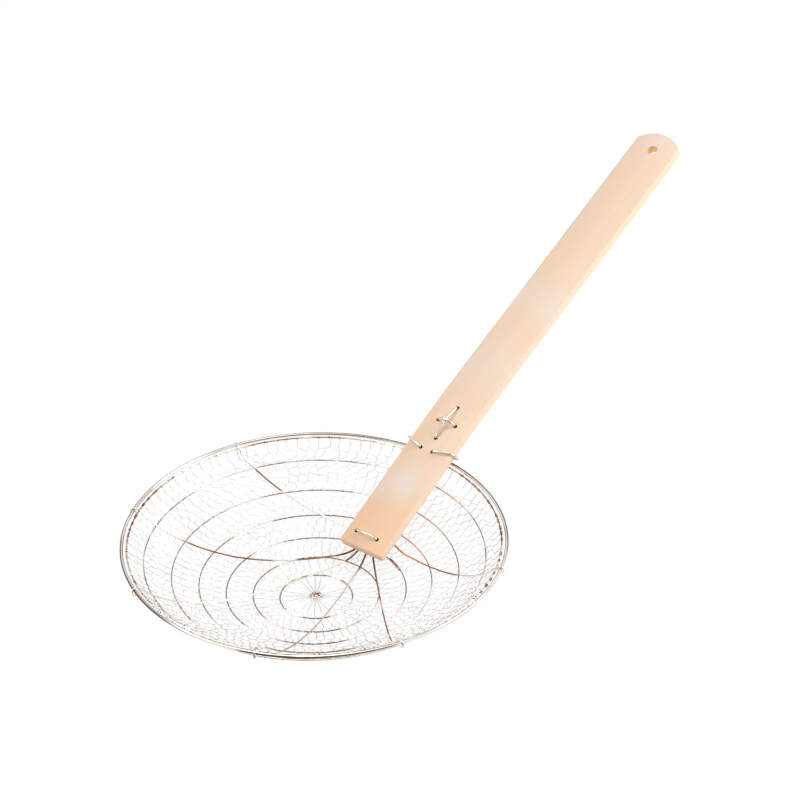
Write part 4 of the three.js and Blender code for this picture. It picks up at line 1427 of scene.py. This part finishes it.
class SKIMMER_OT_stage(bpy.types.Operator):
    """Sets the floor, the light and the camera"""
    bl_idname = "skimmer.stage"
    bl_label = "Stage"

    def execute(self, context):
        settings, dish, _ = shapes(context)
        self.stage = settings.stage
        self.lay_floor()
        self.light_sky(context.scene)
        self.hang_lamps(dish)
        self.hang_flags(dish)
        self.place_camera(context.scene, dish)
        context.scene.view_settings.view_transform = "Standard"
        return {"FINISHED"}

    def lay_floor(self):
        """A pale floor that looks white and keeps a soft shadow."""
        stage = self.stage
        bpy.ops.object.select_all(action="DESELECT")
        bpy.ops.mesh.primitive_plane_add(size=stage.floor_size, location=(0, 0, 0))
        floor = bpy.context.object
        floor.name = "floor"
        bench = new_material("floor")
        bench.feed(bench.shader, Base_Color=stage.floor, Roughness=1.0, Specular_IOR_Level=0.0)
        glow = bench.add("ShaderNodeEmission", Color=(1, 1, 1), Strength=stage.floor_glow)
        part = bench.math("MULTIPLY", bench.seen(), stage.floor_white)
        mixed = bench.add(
            "ShaderNodeMixShader", part, bench.shader.outputs["BSDF"], glow.outputs["Emission"])
        bench.feed(bench.tree.nodes["Material Output"], Surface=mixed.outputs["Shader"])
        floor.data.materials.append(bench.owner)

    def light_sky(self, scene):
        """An even white sky: full white where it is seen, weaker where it lights."""
        scene.world = bpy.data.worlds.new("sky")
        bench = Bench(scene.world, "Background")
        strength = bench.ramp(bench.seen(), 0, 1, to_low=self.stage.sky)
        bench.feed(bench.shader, Color=(1, 1, 1), Strength=strength)

    def toward(self, right, away, up):
        """A direction given as the camera sees it: to its right, away from it and up."""
        turn = self.stage.azimuth
        level_right = Vector((math.cos(turn), math.sin(turn), 0))
        level_away = Vector((-math.sin(turn), math.cos(turn), 0))
        return (right * level_right + away * level_away + up * UP).normalized()

    def hang_lamps(self, dish):
        """Soft square lamps on the right, on the left and overhead, each with its size and power."""
        middle = Vector((0, 0, dish.rim_height))
        power = self.stage.lamp
        lamps = (
            ("right_lamp", self.toward(0.82, 0.05, 0.57), 1.3, power),
            ("left_lamp", self.toward(-0.80, -0.15, 0.58), 1.0, 0.48 * power),
            ("top_lamp", self.toward(-0.10, 0.10, 1.0), 1.4, 0.38 * power),
        )
        for name, way, size, strength in lamps:
            place = middle + self.stage.lamp_distance * way
            bpy.ops.object.light_add(type="AREA", location=place)
            lamp = bpy.context.object
            lamp.name = name
            lamp.data.size = size
            lamp.data.energy = strength
            lamp.rotation_euler = (-way).to_track_quat("-Z", "Y").to_euler()

    def hang_flags(self, dish):
        """Dark cards beyond the skimmer, behind the camera and on the floor before the bowl."""
        stage = self.stage
        middle = Vector((0, 0, dish.rim_height))
        bench = new_material("flag")
        bench.feed(bench.shader, Base_Color=stage.flag, Roughness=1.0, Specular_IOR_Level=0.0)
        flags = (
            ("far_flag", self.toward(0, 1, 0.12), 2.2, 4.4, 0.9),
            ("near_flag", self.toward(0, -1, 0.42), 2.6, 4.2, 2.2),
        )
        for name, way, distance, width, height in flags:
            self.hang_card(bench.owner, name, middle + distance * way, way, width, height)
        front = Vector((dish.axis, 0, stage.front_flag_lift)) + stage.front_flag_gap * self.toward(0, -1, 0)
        self.hang_card(bench.owner, "front_flag", front, UP, stage.front_flag_size, stage.front_flag_size)

    def hang_card(self, material, name, place, way, width, height):
        """A card that faces along one way and shows only in reflections."""
        bpy.ops.object.select_all(action="DESELECT")
        bpy.ops.mesh.primitive_plane_add(size=1, location=place)
        card = bpy.context.object
        card.name = name
        card.rotation_euler = way.to_track_quat("Z", "Y").to_euler()
        card.scale = (width, height, 1)
        card.data.materials.append(material)
        card.visible_camera = False
        card.visible_diffuse = False
        card.visible_transmission = False
        card.visible_shadow = False

    def place_camera(self, scene, dish):
        """Stands the camera where the photograph was taken from."""
        stage = self.stage
        aim = Vector((dish.axis + stage.aim_along, stage.aim_across, dish.rim_height))
        level = math.cos(stage.elevation)
        back = Vector((
            math.sin(stage.azimuth) * level, -math.cos(stage.azimuth) * level, math.sin(stage.elevation)))
        right = UP.cross(back).normalized()
        upward = back.cross(right)
        turn = Matrix.Rotation(stage.roll, 3, back)
        right = turn @ right
        upward = turn @ upward
        bpy.ops.object.camera_add(location=aim + stage.distance * back)
        camera = bpy.context.object
        camera.name = "camera"
        camera.data.sensor_width = stage.sensor
        camera.data.lens = stage.lens
        camera.rotation_euler = Matrix((right, upward, back)).transposed().to_euler()
        scene.camera = camera


class SKIMMER_PT_panel(bpy.types.Panel):
    """Lists what the skimmer is made of"""
    bl_idname = "SKIMMER_PT_panel"
    bl_label = "Wire Skimmer"
    bl_space_type = "VIEW_3D"
    bl_region_type = "UI"
    bl_category = "Skimmer"

    def draw(self, context):
        for operator in OPERATORS:
            self.layout.operator(operator.bl_idname)


GROUPS = (
    SkimmerBowl, SkimmerNet, SkimmerRibs, SkimmerHandle, SkimmerLacing, SkimmerSteel, SkimmerBamboo,
    SkimmerStage, SkimmerSettings,
)
OPERATORS = (
    SKIMMER_OT_hoops, SKIMMER_OT_rings, SKIMMER_OT_net, SKIMMER_OT_ribs, SKIMMER_OT_handle,
    SKIMMER_OT_lacing, SKIMMER_OT_stage,
)


def register():
    """Registers the properties, operators and panel."""
    for kind in GROUPS + OPERATORS + (SKIMMER_PT_panel,):
        bpy.utils.register_class(kind)
    bpy.types.Scene.skimmer = PointerProperty(type=SkimmerSettings)


def unregister():
    """Removes the properties, operators and panel."""
    del bpy.types.Scene.skimmer
    for kind in reversed(GROUPS + OPERATORS + (SKIMMER_PT_panel,)):
        bpy.utils.unregister_class(kind)


def main():
    """Makes every piece in order."""
    register()
    bpy.ops.skimmer.hoops()
    bpy.ops.skimmer.rings()
    bpy.ops.skimmer.net()
    bpy.ops.skimmer.ribs()
    bpy.ops.skimmer.handle()
    bpy.ops.skimmer.lacing()
    bpy.ops.skimmer.stage()


if __name__ == "__main__":
    main()
